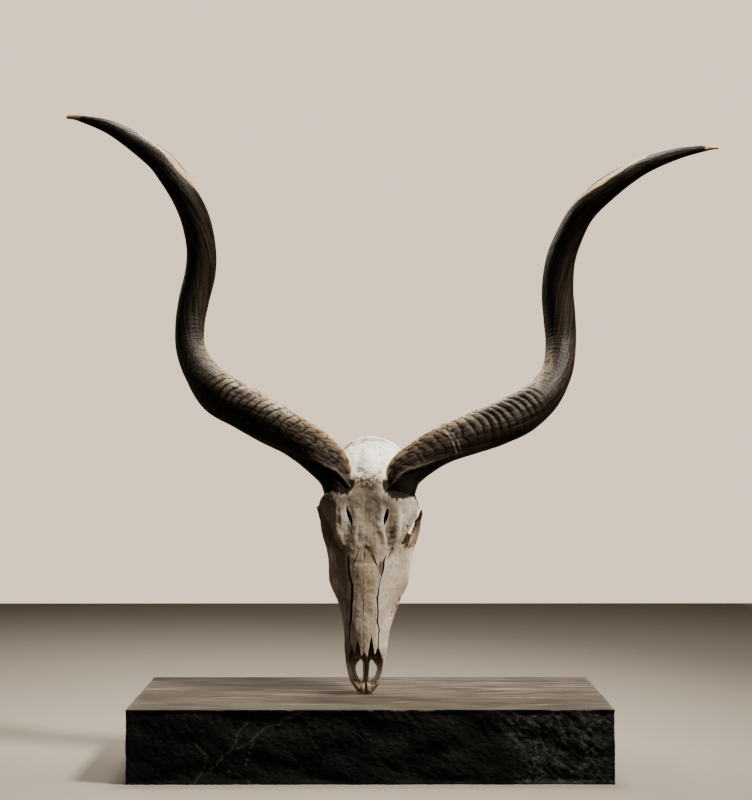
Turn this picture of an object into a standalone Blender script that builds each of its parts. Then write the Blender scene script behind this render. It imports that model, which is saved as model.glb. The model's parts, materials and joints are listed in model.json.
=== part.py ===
"""A kudu skull with its horns, mounted nose down on a dark stone slab.

+Z is up, +X is the viewer's right and -Y faces the viewer. The origin is the middle of the underside of the slab.
Tables are in millimetres and are turned into metres as the shapes are made. The tables of the bone are in
the skull's own frame: the tip of the nose is the origin, and the face looks along -Y.
Where a table holds one side only, the other side is its mirror image.
"""

import math

import bmesh
import bpy
import numpy as np
from mathutils import Euler, Matrix, Vector, noise

MM = 0.001
GAP = 0.3
"""Clearance between pieces that touch."""
SEAT_GROWTH = 1.0
"""How far the bone is grown along its points' normals, which leaves about the clearance at its edges."""

SLAB_SIZE = (720, 330, 110)
SLAB_CELLS = (13, 6)
"""Facets along a long and a short side of the slab."""
SLAB_LEVELS = ((0, 2), (3, 0), (38, 0), (73, 0), (107, 0), (110, 2))
"""Heights of the slab's rows of facets, and how far its edge is set in at each."""
CLEFT_DEPTH = 4.0
CLEFT_SPACING = 75
"""How far the riven sides of the slab fall back from its outer size, and how far apart the hollows are."""

NOSE_TIP = (-8, -16, SLAB_SIZE[2] + GAP)
SKULL_YAW = -4.5
SKULL_LEAN = 1.0
"""Degrees: the face turns to the viewer's left, and the skull leans a little to the right."""

PIN_OFFSET = 1.6
"""How far the pin stands to the right of the tip of the nose."""
PIN_RADIUS = 2.5
PIN_IN_STONE = 60
PIN_IN_SKULL = 174

BONE_VOXEL = 1.7
CUT_BONE_VOXEL = 1.4
BONE_SMOOTHING = 5
BONE_TRIANGLES = 3500

HORN_SIDES = 12
FOLD_SPACING = 20
FOLD_REACH = 0.33
"""The share of a horn's length, from its base, that carries cross folds."""
FOLD_HEIGHTS = ((0.0, 0.6), (0.1, 1.6), (0.2, 3.0), (0.29, 3.4), (0.33, 0.0))
FOLD_SLANT = 10
FOLD_SLANTS = ((0.0, 0.0), (0.08, 1.0), (0.3, 1.0), (0.38, 0.0))
"""How far the folds reach ahead at the front of the horn, and the share of it along the horn."""
FOLD_SIDE = 300
"""Degrees from the front towards the outer side, where the folds stand highest."""
PLAIN_RINGS = 26
HORN_DEPTH_RATIO = 1.12
CORE_RATIO = 0.62
CORE_TAPER = 0.75
CORE_REACH = 0.2
"""The bony core inside a horn: its width against the horn's, what it loses by its end, and its share of the length."""

# Middle line of each horn, base to tip: x, y, z and the width seen from the front.
RIGHT_HORN = (
    (45, -12, 418, 54),
    (53, -6, 452, 60),
    (78, 0, 475, 59),
    (113, 7, 496, 60),
    (157, 19, 513, 65),
    (201, 36, 529, 69),
    (240, 55, 548, 67),
    (279, 76, 578, 59),
    (304, 98, 615, 53),
    (313, 121, 661, 53),
    (312, 131, 706, 56),
    (309, 131, 752, 55),
    (313, 121, 800, 51),
    (326, 106, 839, 47),
    (345, 90, 875, 44),
    (377, 74, 906, 41),
    (432, 55, 941, 29),
    (488, 45, 962, 20),
    (535, 39, 971, 11),
    (558, 38, 972, 5),
)
LEFT_HORN = (
    (-48, -5, 418, 54),
    (-54, 3, 450, 61),
    (-77, 12, 479, 66),
    (-117, 27, 508, 65),
    (-161, 48, 532, 70),
    (-206, 76, 557, 71),
    (-245, 103, 581, 71),
    (-277, 133, 613, 60),
    (-299, 161, 654, 52),
    (-302, 173, 697, 52),
    (-296, 179, 739, 54),
    (-285, 176, 785, 54),
    (-283, 168, 825, 52),
    (-290, 154, 867, 51),
    (-305, 141, 906, 50),
    (-330, 131, 943, 45),
    (-358, 125, 973, 39),
    (-422, 119, 1015, 26),
    (-477, 119, 1033, 12),
    (-501, 121, 1036, 7),
)

# Where the keel lies round a horn: share of the length, and degrees from the front towards the outer side.
KEEL_ANGLES = ((0.0, -60), (0.05, -5), (0.18, 35), (0.34, 90), (0.55, 165), (0.8, 265), (1.0, 310))
KEEL_HEIGHTS = ((0.0, 10.0), (0.06, 3.0), (0.1, 2.5), (0.35, 4.5), (0.8, 3.0), (1.0, 0.3))
KEEL_WIDTH = 0.16
KEEL_SHARE = 0.5
"""The share of the keel's height that is inside the width seen from the front."""

# Outline of the face at each height: the front at the middle, then x, y of the edge of the nasal bones, of
# the slope of the cheek, of the widest place and of the tooth ridge, and the roof of the mouth at the middle.
FACE_SECTIONS = (
    (56, -26, (14, -24), (23, -13), (30, -3), (27, 13), 14),
    (72, -27, (16, -24), (27, -14), (33, 0), (28, 20), 20),
    (90, -27, (18, -24), (29, -13), (35, 4), (30, 27), 26),
    (110, -27, (20, -24), (31, -12), (38, 10), (34, 36), 32),
    (126, -27, (21, -24), (33, -11), (42, 18), (40, 45), 37),
    (142, -27, (22, -24), (36, -10), (49, 26), (43, 51), 41),
    (156, -27, (23, -24), (39, -9), (56, 29), (44, 56), 45),
    (172, -27, (24, -24), (42, -8), (61, 30), (45, 61), 50),
    (200, -27, (26, -24), (46, -7), (62, 28), (46, 69), 58),
    (222, -27, (28, -24), (50, -6), (62, 24), (44, 74), 64),
    (240, -28, (32, -25), (56, -6), (64, 14), (34, 66), 62),
    (258, -28, (37, -27), (64, -6), (70, 4), (26, 52), 55),
    (276, -28, (41, -28), (70, -8), (75, -2), (24, 46), 52),
    (292, -28, (43, -28), (71, -9), (75, 0), (28, 50), 55),
    (305, -28, (41, -27), (66, -10), (71, 4), (36, 56), 60),
    (314, -27, (26, -25), (53, -7), (63, 6), (38, 56), 60),
    (322, -25, (20, -22), (37, -5), (50, 10), (38, 56), 60),
    (332, -20, (18, -17), (30, -4), (44, 12), (36, 54), 58),
    (342, -11, (16, -9), (26, 0), (38, 14), (32, 48), 54),
)

# Braincase at each height: middle in y, half depth and half width.
BRAINCASE_SECTIONS = (
    (296, 30, 38, 44),
    (320, 27, 48, 50),
    (340, 38, 45, 52),
    (358, 47, 41, 52),
    (372, 54, 34, 49),
    (384, 59, 26, 42),
    (392, 60, 18, 32),
    (397, 58, 10, 18),
)

# Bars and plates of bone on the right side: x, y, z, half width in x and half depth.
CHEEK_ARCH = (
    (50, 30, 156, 6, 9),
    (57, 31, 174, 6, 11),
    (59, 33, 200, 6, 12),
    (64, 38, 223, 5.5, 11),
    (70, 42, 240, 5.5, 10),
    (74, 44, 258, 5, 9),
    (75, 45, 274, 5, 8),
    (71, 48, 292, 5, 8),
    (63, 54, 312, 5.5, 9),
    (48, 60, 328, 7, 10),
)
# Each side of the nose is a slanting plate: its front edge, its middle and its back edge.
NOSE_BAR = (
    (9, 0, 8, 6.5, 6),
    (17, 0, 16, 5, 6),
    (22, -1, 27, 4.5, 6),
    (26.4, -2, 42, 3.6, 7),
    (28.4, -2, 58, 3.6, 9),
    (29.6, -2, 78, 4.4, 10),
    (28, -1, 96, 3, 6),
)
NOSE_MIDDLE = (
    (12, 4, 12, 5, 4),
    (17.5, 4, 22, 4, 5),
    (21, 4, 32, 3.8, 5),
    (23, 4, 42, 3.6, 5),
    (24, 5, 54, 4, 5),
    (22, 6, 66, 6, 5),
)
NOSE_BACK = (
    (7, 8, 13, 4, 3.5),
    (12, 9, 20, 4, 3.5),
    (17.5, 9, 30, 3.5, 3.5),
    (19.3, 9, 42, 3.6, 3.5),
    (15.5, 10, 54, 7.5, 3.5),
    (14, 11, 66, 11, 3.5),
)
PALATINE_BAR = ((2.4, 3, 8, 2.8, 4.5), (2.4, 6, 34, 2.8, 4.5), (3, 11, 54, 3.2, 5), (6, 17, 74, 4, 5))
TOOTH_RIDGE = (
    (30, 29, 102, 6, 6),
    (34, 36, 124, 8, 8),
    (40, 50, 168, 9, 8),
    (40, 63, 208, 9, 8),
    (37, 68, 232, 7, 7),
)
PTERYGOID_PLATE = (
    (16, 62, 220, 3, 11),
    (16, 66, 244, 2.8, 14),
    (17, 68, 268, 2.8, 12),
    (18, 72, 290, 3.2, 8),
)
EAR_SPIKE = ((34, 78, 372, 8, 10), (34, 96, 365, 5.5, 8), (32, 112, 354, 3.5, 5), (31, 118, 348, 2, 3))
HORN_BOSS = ((44, 2, 276, 22, 22), (47, 7, 298, 25, 28), (47, 8, 308, 25, 29), (48, 9, 315, 22, 26))
BROW_RIDGE = ((26, -14, 212, 6, 5), (40, -18, 240, 9, 7), (46, -18, 268, 10, 9), (46, -19, 300, 9, 8))
SKULL_BASE = (
    (0, 60, 262, 12, 8),
    (0, 70, 290, 13, 10),
    (0, 80, 320, 15, 10),
    (0, 84, 350, 15, 9),
    (0, 82, 378, 15, 9),
)
RIGHT_BARS = (
    CHEEK_ARCH,
    NOSE_BAR,
    NOSE_MIDDLE,
    NOSE_BACK,
    PALATINE_BAR,
    TOOTH_RIDGE,
    PTERYGOID_PLATE,
    EAR_SPIKE,
    HORN_BOSS,
    BROW_RIDGE,
)

# The rise of the forehead into the braincase: centre and half sizes.
FOREHEAD_RISE = ((0, 50, 322), (36, 66, 62))

# Rounded lumps on the right side: centre and half sizes.
NOSE_LUMP = ((5, 0, 9), (13, 8, 9))
CONDYLE = ((17, 86, 384), (11, 13, 12))
EAR_BULB = ((27, 88, 328), (11, 13, 17))
EAR_TUBE = ((47, 66, 344), (11, 7, 7))
MASTOID = ((43, 66, 366), (13, 17, 14))

# The crest across the back of the head, an arch seen from the front.
CREST_CENTRE = (0, 48, 360)
CREST_REACH = (48, 36)
CREST_SWEEP = 74
CREST_RADIUS = 4.5

# The ring of bone round an eye socket.
ORBIT_CENTRE = (70, 17, 259)
ORBIT_REACH = (22, 27)
ORBIT_SLANT = (3, 10)
"""How much further out the ring lies at its back and at its top than at its centre."""
ORBIT_RIM = 4.5
ORBIT_TILT = 20
SOCKET_CENTRE = (88, 16, 262)
SOCKET_SIZE = (46, 20, 23)

# Openings through the bone.
NOSE_CAVITY = (
    (50, -8, 13, 20),
    (58, -7, 13, 20),
    (72, -4, 15, 20),
    (88, 0, 22, 20),
    (114, 2, 27, 21),
    (138, 3, 23, 19),
    (156, 3, 14, 13),
    (164, 3, 5, 5),
)
CHOANA = ((0, 62, 250), (12, 17, 36))
FORAMEN_MAGNUM = ((0, 73, 396), (12, 10, 34))
TEMPLE_HOLLOW = ((66, 34, 306), (12, 18, 15))
BROW_SLIT = ((30, -30, 281), (3, 11, 12))
BROW_SLIT_LOW = ((24, -30, 262), (2, 7, 8))
FACE_HOLE = ((38, 5, 124), (8, 3, 6))

# The open seam beside each nasal bone: x, z and width.
NASAL_SEAM = (
    (22, 66, 3),
    (23, 88, 3),
    (22.5, 106, 2.6),
    (20.5, 144, 2.6),
    (22, 172, 2.6),
    (26, 196, 4),
    (27, 212, 1),
)
SEAM_DEPTHS = (-45, -10)

# The zigzag that the lower ends of the nasal bones leave open, as x, z.
NASAL_ENDS = (
    (-25.5, 50),
    (-25.5, 62),
    (-21, 78),
    (-15.5, 65),
    (-11, 88),
    (-5, 62),
    (0, 68),
    (4.5, 61),
    (10, 96),
    (15.5, 64),
    (20.5, 78),
    (25.5, 62),
    (25.5, 50),
)
# The notch between the two halves of the tip of the nose, in front of the pin.
TIP_NOTCH = ((-0.4, -6), (3.6, -6), (3.2, 22), (0, 22))
END_DEPTHS = (-40, -1.5)

# Cheek teeth, front to back: length along the row and width across it.
TEETH = ((12, 11), (14, 13), (15, 15), (18, 17), (20, 17.5), (21, 16))
TOOTH_SIDES = 12
TOOTH_GAP = 0.5
TOOTH_CROWN = 8
TOOTH_ROOT = 7
TOOTH_WAIST = 0.12
"""How far the groove between a tooth's two lobes cuts in, as a share of its width."""
# The row of teeth: where it starts and ends, and how far it bows outwards between.
TOOTH_ROW = ((32, 43, 120), (38, 77, 223))
TOOTH_ROW_BOW = 3.5

BONE_COLOUR = (0.62, 0.56, 0.47, 1)
HORN_COLOUR = (0.030, 0.024, 0.019, 1)
TOOTH_COLOUR = (0.55, 0.47, 0.34, 1)
STONE_COLOUR = (0.035, 0.036, 0.033, 1)
STEEL_COLOUR = (0.045, 0.04, 0.036, 1)


def clear_scene():
    for item in list(bpy.data.objects):
        bpy.data.objects.remove(item, do_unlink=True)


def new_collection(name):
    collection = bpy.data.collections.new(name)
    bpy.context.scene.collection.children.link(collection)
    return collection


def new_material(name, colour, roughness, metallic=0.0):
    material = bpy.data.materials.new(name)
    material.use_nodes = True
    shader = material.node_tree.nodes["Principled BSDF"]
    shader.inputs["Base Color"].default_value = colour
    shader.inputs["Roughness"].default_value = roughness
    shader.inputs["Metallic"].default_value = metallic
    return material


def new_object(name, bm, collection, parent=None, material=None, smooth_angle=None):
    """Turns a bmesh into an object of the collection, placed in its parent's frame."""
    mesh = bpy.data.meshes.new(name)
    bmesh.ops.recalc_face_normals(bm, faces=bm.faces)
    bm.to_mesh(mesh)
    bm.free()
    item = bpy.data.objects.new(name, mesh)
    collection.objects.link(item)
    item.parent = parent
    if material:
        mesh.materials.append(material)
    if smooth_angle:
        mesh.shade_smooth()
        mesh.set_sharp_from_angle(angle=math.radians(smooth_angle))
    return item


def new_cutter(name, bm, collection, parent=None):
    item = new_object(name, bm, collection, parent)
    item.hide_render = True
    item.display_type = "WIRE"
    return item


def bake_modifiers(item):
    """Replaces an object's mesh by its evaluated one and drops its modifiers."""
    bpy.context.view_layer.update()
    evaluated = item.evaluated_get(bpy.context.evaluated_depsgraph_get())
    mesh = bpy.data.meshes.new_from_object(evaluated)
    item.modifiers.clear()
    item.data = mesh


def subtract(item, cutter):
    cut = item.modifiers.new(cutter.name, "BOOLEAN")
    cut.operation = "DIFFERENCE"
    cut.solver = "EXACT"
    cut.object = cutter


def fuse(item, voxel, smoothing):
    """Joins everything in a mesh into one skin of small faces, and softens it."""
    remesh = item.modifiers.new("fuse", "REMESH")
    remesh.mode = "VOXEL"
    remesh.voxel_size = voxel * MM
    if smoothing:
        smooth = item.modifiers.new("soften", "SMOOTH")
        smooth.factor = 0.5
        smooth.iterations = smoothing


def count_triangles(mesh):
    return sum(len(face.vertices) - 2 for face in mesh.polygons)


def catmull_rom(rows, steps, closed=False):
    """A smooth line through rows of numbers, with this many steps between each two."""
    rows = np.array(rows, dtype=float)
    if closed:
        padded = np.vstack([rows[-1], rows, rows[:2]])
    else:
        padded = np.vstack([2 * rows[0] - rows[1], rows, 2 * rows[-1] - rows[-2]])
    line = []
    for before, start, end, after in zip(padded, padded[1:], padded[2:], padded[3:]):
        for t in np.arange(steps) / steps:
            line.append(
                start
                + 0.5 * t * (end - before)
                + t * t * (before - 2.5 * start + 2 * end - 0.5 * after)
                + t * t * t * (-0.5 * before + 1.5 * start - 1.5 * end + 0.5 * after)
            )
    if not closed:
        line.append(rows[-1])
    return np.array(line)


def mirrored(row, side):
    return (row[0] * side, *row[1:])


def add_rings(bm, rings, closed=False):
    """Skins rings of points, in millimetres, and caps the two ends unless the last ring meets the first."""
    made = [[bm.verts.new(Vector(point) * MM) for point in ring] for ring in rings]
    count = len(made[0])
    pairs = list(zip(made, made[1:]))
    if closed:
        pairs.append((made[-1], made[0]))
    for low, high in pairs:
        for i in range(count):
            j = (i + 1) % count
            bm.faces.new((low[i], low[j], high[j], high[i]))
    if not closed:
        bm.faces.new(made[0][::-1])
        bm.faces.new(made[-1])


def add_ellipsoid(bm, centre, sizes, tilt=0.0, segments=24):
    turn = Matrix.Rotation(math.radians(tilt), 4, "Y")
    scale = Matrix.Diagonal((*(size * MM for size in sizes), 1))
    place = Matrix.Translation(Vector(centre) * MM) @ turn @ scale
    bmesh.ops.create_uvsphere(bm, u_segments=segments, v_segments=segments // 2, radius=1, matrix=place)


def add_bar(bm, rows, sides=14, steps=4, closed=False):
    """A bar of oval section along a line of x, y, z, half width in x and half depth."""
    line = catmull_rom(rows, steps, closed)
    centres = line[:, :3]
    if closed:
        tangents = np.roll(centres, -1, axis=0) - np.roll(centres, 1, axis=0)
    else:
        tangents = np.gradient(centres, axis=0)
    rings = []
    for centre, tangent, (width, depth) in zip(centres, tangents, line[:, 3:]):
        along = Vector(tangent).normalized()
        across = Vector((1, 0, 0)) - along * along.x
        if across.length < 0.3:
            across = Vector((0, 0, 1)) - along * along.z
        across.normalize()
        back = along.cross(across)
        ring = []
        for i in range(sides):
            angle = 2 * math.pi * i / sides
            ring.append(Vector(centre) + across * width * math.cos(angle) + back * depth * math.sin(angle))
        rings.append(ring)
    add_rings(bm, rings, closed)


def oval_ring(z, middle, half_depth, half_width, count=40, fullness=0.88):
    """A level oval, slightly squarer than an ellipse."""
    ring = []
    for i in range(count):
        angle = 2 * math.pi * i / count
        x = math.copysign(abs(math.cos(angle)) ** fullness, math.cos(angle))
        y = math.copysign(abs(math.sin(angle)) ** fullness, math.sin(angle))
        ring.append((x * half_width, middle + y * half_depth, z))
    return ring


def stacked_ovals(sections, steps=3):
    line = catmull_rom([(*row[1:], row[0]) for row in sections], steps)
    return [oval_ring(z, middle, depth, width) for middle, depth, width, z in line]


def face_rings():
    rows = []
    for z, front, *edges, palate in FACE_SECTIONS:
        rows.append([z, front, palate, *(number for edge in edges for number in edge)])
    rings = []
    for z, front, palate, *numbers in catmull_rom(rows, 3):
        edges = list(zip(numbers[::2], numbers[1::2]))
        right = [(0, front), *edges, (0, palate)]
        left = [(-x, y) for x, y in reversed(edges)]
        outline = catmull_rom(right + left, 4, closed=True)
        rings.append([(x, y, z) for x, y in outline])
    return rings


def orbit_ring():
    """The line round an eye socket, as rows for add_bar."""
    rows = []
    for i in range(16):
        angle = 2 * math.pi * i / 16
        back, up = math.cos(angle), math.sin(angle)
        x = ORBIT_CENTRE[0] + ORBIT_SLANT[0] * back + ORBIT_SLANT[1] * up
        y = ORBIT_CENTRE[1] + ORBIT_REACH[0] * back
        z = ORBIT_CENTRE[2] + ORBIT_REACH[1] * up
        rows.append((x, y, z, ORBIT_RIM, ORBIT_RIM))
    return rows


def crest_arch():
    rows = []
    for degrees in np.linspace(-CREST_SWEEP, CREST_SWEEP, 13):
        angle = math.radians(degrees)
        x = CREST_CENTRE[0] + CREST_REACH[0] * math.sin(angle)
        z = CREST_CENTRE[2] + CREST_REACH[1] * math.cos(angle)
        rows.append((x, CREST_CENTRE[1], z, CREST_RADIUS, CREST_RADIUS))
    return rows


def build_bone(collection, cutters, frame, material, core_lines, bore):
    """The cranium and upper jaw, with the bony cores that carry the horns."""
    bm = bmesh.new()
    add_rings(bm, face_rings())
    add_rings(bm, stacked_ovals(BRAINCASE_SECTIONS))
    add_bar(bm, SKULL_BASE)
    add_bar(bm, crest_arch())
    add_ellipsoid(bm, *FOREHEAD_RISE)
    for side in (-1, 1):
        for bar in RIGHT_BARS:
            add_bar(bm, [mirrored(row, side) for row in bar])
        add_bar(bm, [mirrored(row, side) for row in orbit_ring()], closed=True)
        for centre, sizes in (NOSE_LUMP, CONDYLE, EAR_BULB, EAR_TUBE, MASTOID):
            add_ellipsoid(bm, mirrored(centre, side), sizes)
    for line in core_lines:
        add_bar(bm, line)
    skull = new_object("skull", bm, collection, frame, material)

    fuse(skull, BONE_VOXEL, BONE_SMOOTHING)
    subtract(skull, bone_openings(cutters, frame))
    fuse(skull, CUT_BONE_VOXEL, 2)
    bake_modifiers(skull)

    thin = skull.modifiers.new("facets", "DECIMATE")
    thin.ratio = BONE_TRIANGLES / count_triangles(skull.data)
    thin.use_collapse_triangulate = True
    for cutter in (nasal_seams(cutters, frame), nasal_ends(cutters, frame), bore):
        subtract(skull, cutter)
    bake_modifiers(skull)
    return skull


def bone_openings(cutters, frame):
    """Eye sockets, nose, throat, spine hole and the small holes of the brow, as one cutter."""
    bm = bmesh.new()
    add_rings(bm, stacked_ovals(NOSE_CAVITY))
    for centre, sizes in (CHOANA, FORAMEN_MAGNUM):
        add_ellipsoid(bm, centre, sizes)
    for side in (-1, 1):
        add_ellipsoid(bm, mirrored(SOCKET_CENTRE, side), SOCKET_SIZE, ORBIT_TILT * side)
        for centre, sizes in (TEMPLE_HOLLOW, BROW_SLIT, BROW_SLIT_LOW, FACE_HOLE):
            add_ellipsoid(bm, mirrored(centre, side), sizes, segments=16)
    cutter = new_cutter("bone_openings", bm, cutters, frame)
    fuse(cutter, CUT_BONE_VOXEL, 0)
    return cutter


def nasal_seams(cutters, frame):
    """The open seams beside the nasal bones."""
    bm = bmesh.new()
    near, far = SEAM_DEPTHS
    for side in (-1, 1):
        rings = []
        for x, z, width in NASAL_SEAM:
            left, right = x * side - width / 2, x * side + width / 2
            rings.append([(left, near, z), (right, near, z), (right, far, z), (left, far, z)])
        add_rings(bm, rings)
    return new_cutter("nasal_seams", bm, cutters, frame)


def nasal_ends(cutters, frame):
    """The space below the pointed ends of the nasal bones, and the notch in the tip of the nose."""
    bm = bmesh.new()
    for outline in (NASAL_ENDS, TIP_NOTCH):
        add_rings(bm, [[(x, y, z) for x, z in outline] for y in END_DEPTHS])
    return new_cutter("nasal_ends", bm, cutters, frame)


def interpolate(table, share):
    places, values = zip(*table)
    return float(np.interp(share, places, values))


def horn_rings(rows, side):
    """Rings from base to tip, with the keel on each ring's first point, so that it winds with the horn."""
    line = catmull_rom(rows, 12)
    centres = line[:, :3]
    lengths = np.concatenate([[0], np.cumsum(np.linalg.norm(np.diff(centres, axis=0), axis=1))])
    total = lengths[-1]
    tangents = np.gradient(centres, axis=0)

    folds = round(FOLD_REACH * total / FOLD_SPACING)
    marks = [(fold + phase) / folds * FOLD_REACH for fold in range(folds) for phase in (0.0, 0.3, 0.7)]
    marks += list(np.linspace(FOLD_REACH, 1, PLAIN_RINGS))

    def at(place, values):
        return Vector([np.interp(place, lengths, values[:, axis]) for axis in range(3)])

    rings = []
    for share in marks:
        half = np.interp(share * total, lengths, line[:, 3]) / 2
        keel = math.radians(interpolate(KEEL_ANGLES, share))
        keel_height = interpolate(KEEL_HEIGHTS, share)
        fold = abs(math.sin(math.pi * share / FOLD_REACH * folds)) - 0.5
        fold_height = interpolate(FOLD_HEIGHTS, share)
        slant = FOLD_SLANT * interpolate(FOLD_SLANTS, share)
        ring = []
        for i in range(HORN_SIDES):
            from_keel = 2 * math.pi * i / HORN_SIDES
            angle = keel + from_keel
            place = share * total + slant * math.cos(angle)
            along = at(place, tangents).normalized()
            front = (Vector((0, -1, 0)) + along * along.y).normalized()
            outer = along.cross(front) * side
            ridge = keel_height * (math.exp(-((math.sin(from_keel / 2) / KEEL_WIDTH) ** 2)) - KEEL_SHARE)
            ribbed = 0.5 + 0.5 * math.cos(angle - math.radians(FOLD_SIDE))
            lift = ridge + fold_height * fold * ribbed
            x, y = (half + lift) * math.sin(angle), (half * HORN_DEPTH_RATIO + lift) * math.cos(angle)
            ring.append(at(place, centres) + outer * x + front * y)
        rings.append(ring)
    return rings


def build_horn(name, rows, side, collection, parent, material, seat):
    """A horn sheath, with the socket that its bony core fills cut out of its base."""
    bm = bmesh.new()
    add_rings(bm, horn_rings(rows, side))
    horn = new_object(name, bm, collection, parent, material, smooth_angle=50)
    subtract(horn, seat)
    return horn


def core_line(rows, into_skull):
    """The bony core inside a horn, tapering to its tip, in the skull's frame."""
    line = catmull_rom(rows, 6)
    count = round(len(line) * CORE_REACH)
    core = []
    for i, (x, y, z, width) in enumerate(line[:count]):
        point = into_skull @ (Vector((x, y, z)) * MM) / MM
        half = width / 2 * CORE_RATIO * (1 - CORE_TAPER * (i / count) ** 2)
        core.append((*point, half, half))
    return core[::3]


def build_seat(skull, cutters, frame):
    """The skull grown by the clearance, for cutting the horns and the teeth to fit it."""
    seat = bpy.data.objects.new("bone_seat", skull.data.copy())
    seat.data.materials.clear()
    seat.parent = frame
    seat.hide_render = True
    seat.display_type = "WIRE"
    cutters.objects.link(seat)
    grow = seat.modifiers.new("clearance", "DISPLACE")
    grow.strength = SEAT_GROWTH * MM
    grow.mid_level = 0
    return seat


def build_teeth(collection, frame, material, seat):
    start, end = (Vector(point) for point in TOOTH_ROW)
    along = (end - start).normalized()
    down = Vector((0, along.z, -along.y))
    total = sum(length for length, _ in TEETH) + TOOTH_GAP * (len(TEETH) - 1)
    for side, word in ((-1, "left"), (1, "right")):
        place = 0
        for number, (length, width) in enumerate(TEETH, start=1):
            share = (place + length / 2) / total
            bow = TOOTH_ROW_BOW * math.sin(math.pi * share)
            middle = start.lerp(end, share) + Vector((bow, 0, 0))
            place += length + TOOTH_GAP
            name = f"tooth_{word}_{number}"
            build_tooth(name, middle, (length, width), along, down, side, collection, frame, material, seat)


def build_tooth(name, middle, size, along, down, side, collection, frame, material, seat):
    """A cheek tooth of two lobes, hollowed a little on its grinding face."""
    length, width = size
    rings = []
    for height, scale in ((-TOOTH_ROOT, 0.8), (0, 0.94), (TOOTH_CROWN * 0.6, 1), (TOOTH_CROWN, 0.9)):
        ring = []
        for i in range(TOOTH_SIDES):
            angle = 2 * math.pi * i / TOOTH_SIDES
            waist = 1 - TOOTH_WAIST * (abs(math.sin(angle)) > 0.9)
            step_along = 0.5 * length * scale * max(-0.92, min(0.92, 1.15 * math.cos(angle)))
            step_across = 0.5 * width * scale * waist * math.sin(angle)
            point = middle + along * step_along + Vector((step_across, 0, 0)) + down * height
            ring.append((point.x * side, point.y, point.z))
        rings.append(ring)
    bm = bmesh.new()
    add_rings(bm, rings)
    tooth = new_object(name, bm, collection, frame, material)
    subtract(tooth, seat)


def slab_outline():
    """Points round the slab's outer size, each with the direction in which its side falls back."""
    across, along = SLAB_CELLS
    half_x, half_y = SLAB_SIZE[0] / 2, SLAB_SIZE[1] / 2
    steps_x = [2 * i / across - 1 for i in range(across)]
    steps_y = [2 * i / along - 1 for i in range(along)]
    outline = [(step * half_x, -half_y, 0, 1) for step in steps_x]
    outline += [(half_x, step * half_y, -1, 0) for step in steps_y]
    outline += [(-step * half_x, half_y, 0, -1) for step in steps_x]
    outline += [(-half_x, -step * half_y, 1, 0) for step in steps_y]
    return outline


def build_slab(collection, material, bore):
    """The stone: a flat top and underside, and sides left rough where it was split."""
    half_x, half_y = SLAB_SIZE[0] / 2, SLAB_SIZE[1] / 2
    rings = []
    for z, inset in SLAB_LEVELS:
        ring = []
        for x, y, inward_x, inward_y in slab_outline():
            place = Vector((x + 40, y, 2.2 * z)) / CLEFT_SPACING
            fall = CLEFT_DEPTH * max(0, min(1, 0.4 + 1.3 * noise.noise(place)))
            x = max(inset - half_x, min(half_x - inset, x + inward_x * fall))
            y = max(inset - half_y, min(half_y - inset, y + inward_y * fall))
            ring.append((x, y, z))
        rings.append(ring)
    bm = bmesh.new()
    add_rings(bm, rings)
    slab = new_object("slab", bm, collection, None, material)
    subtract(slab, bore)
    return slab


def add_upright(bm, radius, bottom, top, sides=16):
    """An upright rod under the tip of the nose, from one height to another."""
    centre = Vector((NOSE_TIP[0] + PIN_OFFSET, NOSE_TIP[1], (bottom + top) / 2)) * MM
    bmesh.ops.create_cone(
        bm,
        cap_ends=True,
        segments=sides,
        radius1=radius * MM,
        radius2=radius * MM,
        depth=(top - bottom) * MM,
        matrix=Matrix.Translation(centre),
    )


def main():
    clear_scene()
    parts = new_collection("kudu_skull")
    cutters = new_collection("cutters")
    bone = new_material("bone", BONE_COLOUR, 0.65)
    keratin = new_material("horn", HORN_COLOUR, 0.38)
    enamel = new_material("tooth", TOOTH_COLOUR, 0.4)
    stone = new_material("stone", STONE_COLOUR, 0.5)
    steel = new_material("steel", STEEL_COLOUR, 0.4, 0.9)

    frame = bpy.data.objects.new("skull_frame", None)
    frame.location = Vector(NOSE_TIP) * MM
    frame.rotation_euler = Euler((0, math.radians(SKULL_LEAN), math.radians(SKULL_YAW)))
    parts.objects.link(frame)
    bpy.context.view_layer.update()

    pin_bottom = SLAB_SIZE[2] - PIN_IN_STONE
    pin_top = NOSE_TIP[2] + PIN_IN_SKULL
    bm = bmesh.new()
    add_upright(bm, PIN_RADIUS, pin_bottom + GAP, pin_top)
    new_object("mounting_pin", bm, parts, None, steel, smooth_angle=30)
    bm = bmesh.new()
    add_upright(bm, PIN_RADIUS + GAP, pin_bottom, pin_top + GAP)
    bore = new_cutter("pin_bore", bm, cutters)

    build_slab(parts, stone, bore)
    into_skull = frame.matrix_world.inverted()
    cores = [core_line(rows, into_skull) for rows in (LEFT_HORN, RIGHT_HORN)]
    skull = build_bone(parts, cutters, frame, bone, cores, bore)
    seat = build_seat(skull, cutters, frame)
    build_horn("left_horn", LEFT_HORN, -1, parts, None, keratin, seat)
    build_horn("right_horn", RIGHT_HORN, 1, parts, None, keratin, seat)
    build_teeth(parts, frame, enamel, seat)


main()
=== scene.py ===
"""The looks of the kudu skull: finer bone, horns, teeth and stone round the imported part, in a plain studio.

Tables are in millimetres in the part's own frame. Those of the bone are in the skull's frame: the tip of the
nose is the origin, and the face looks along -Y. Where a table holds one side only, the other is its mirror image.
"""

import json
import math
from itertools import product

import bmesh
import bpy
import numpy as np
from mathutils import Euler, Matrix, Vector, noise
from mathutils.bvhtree import BVHTree

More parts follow.
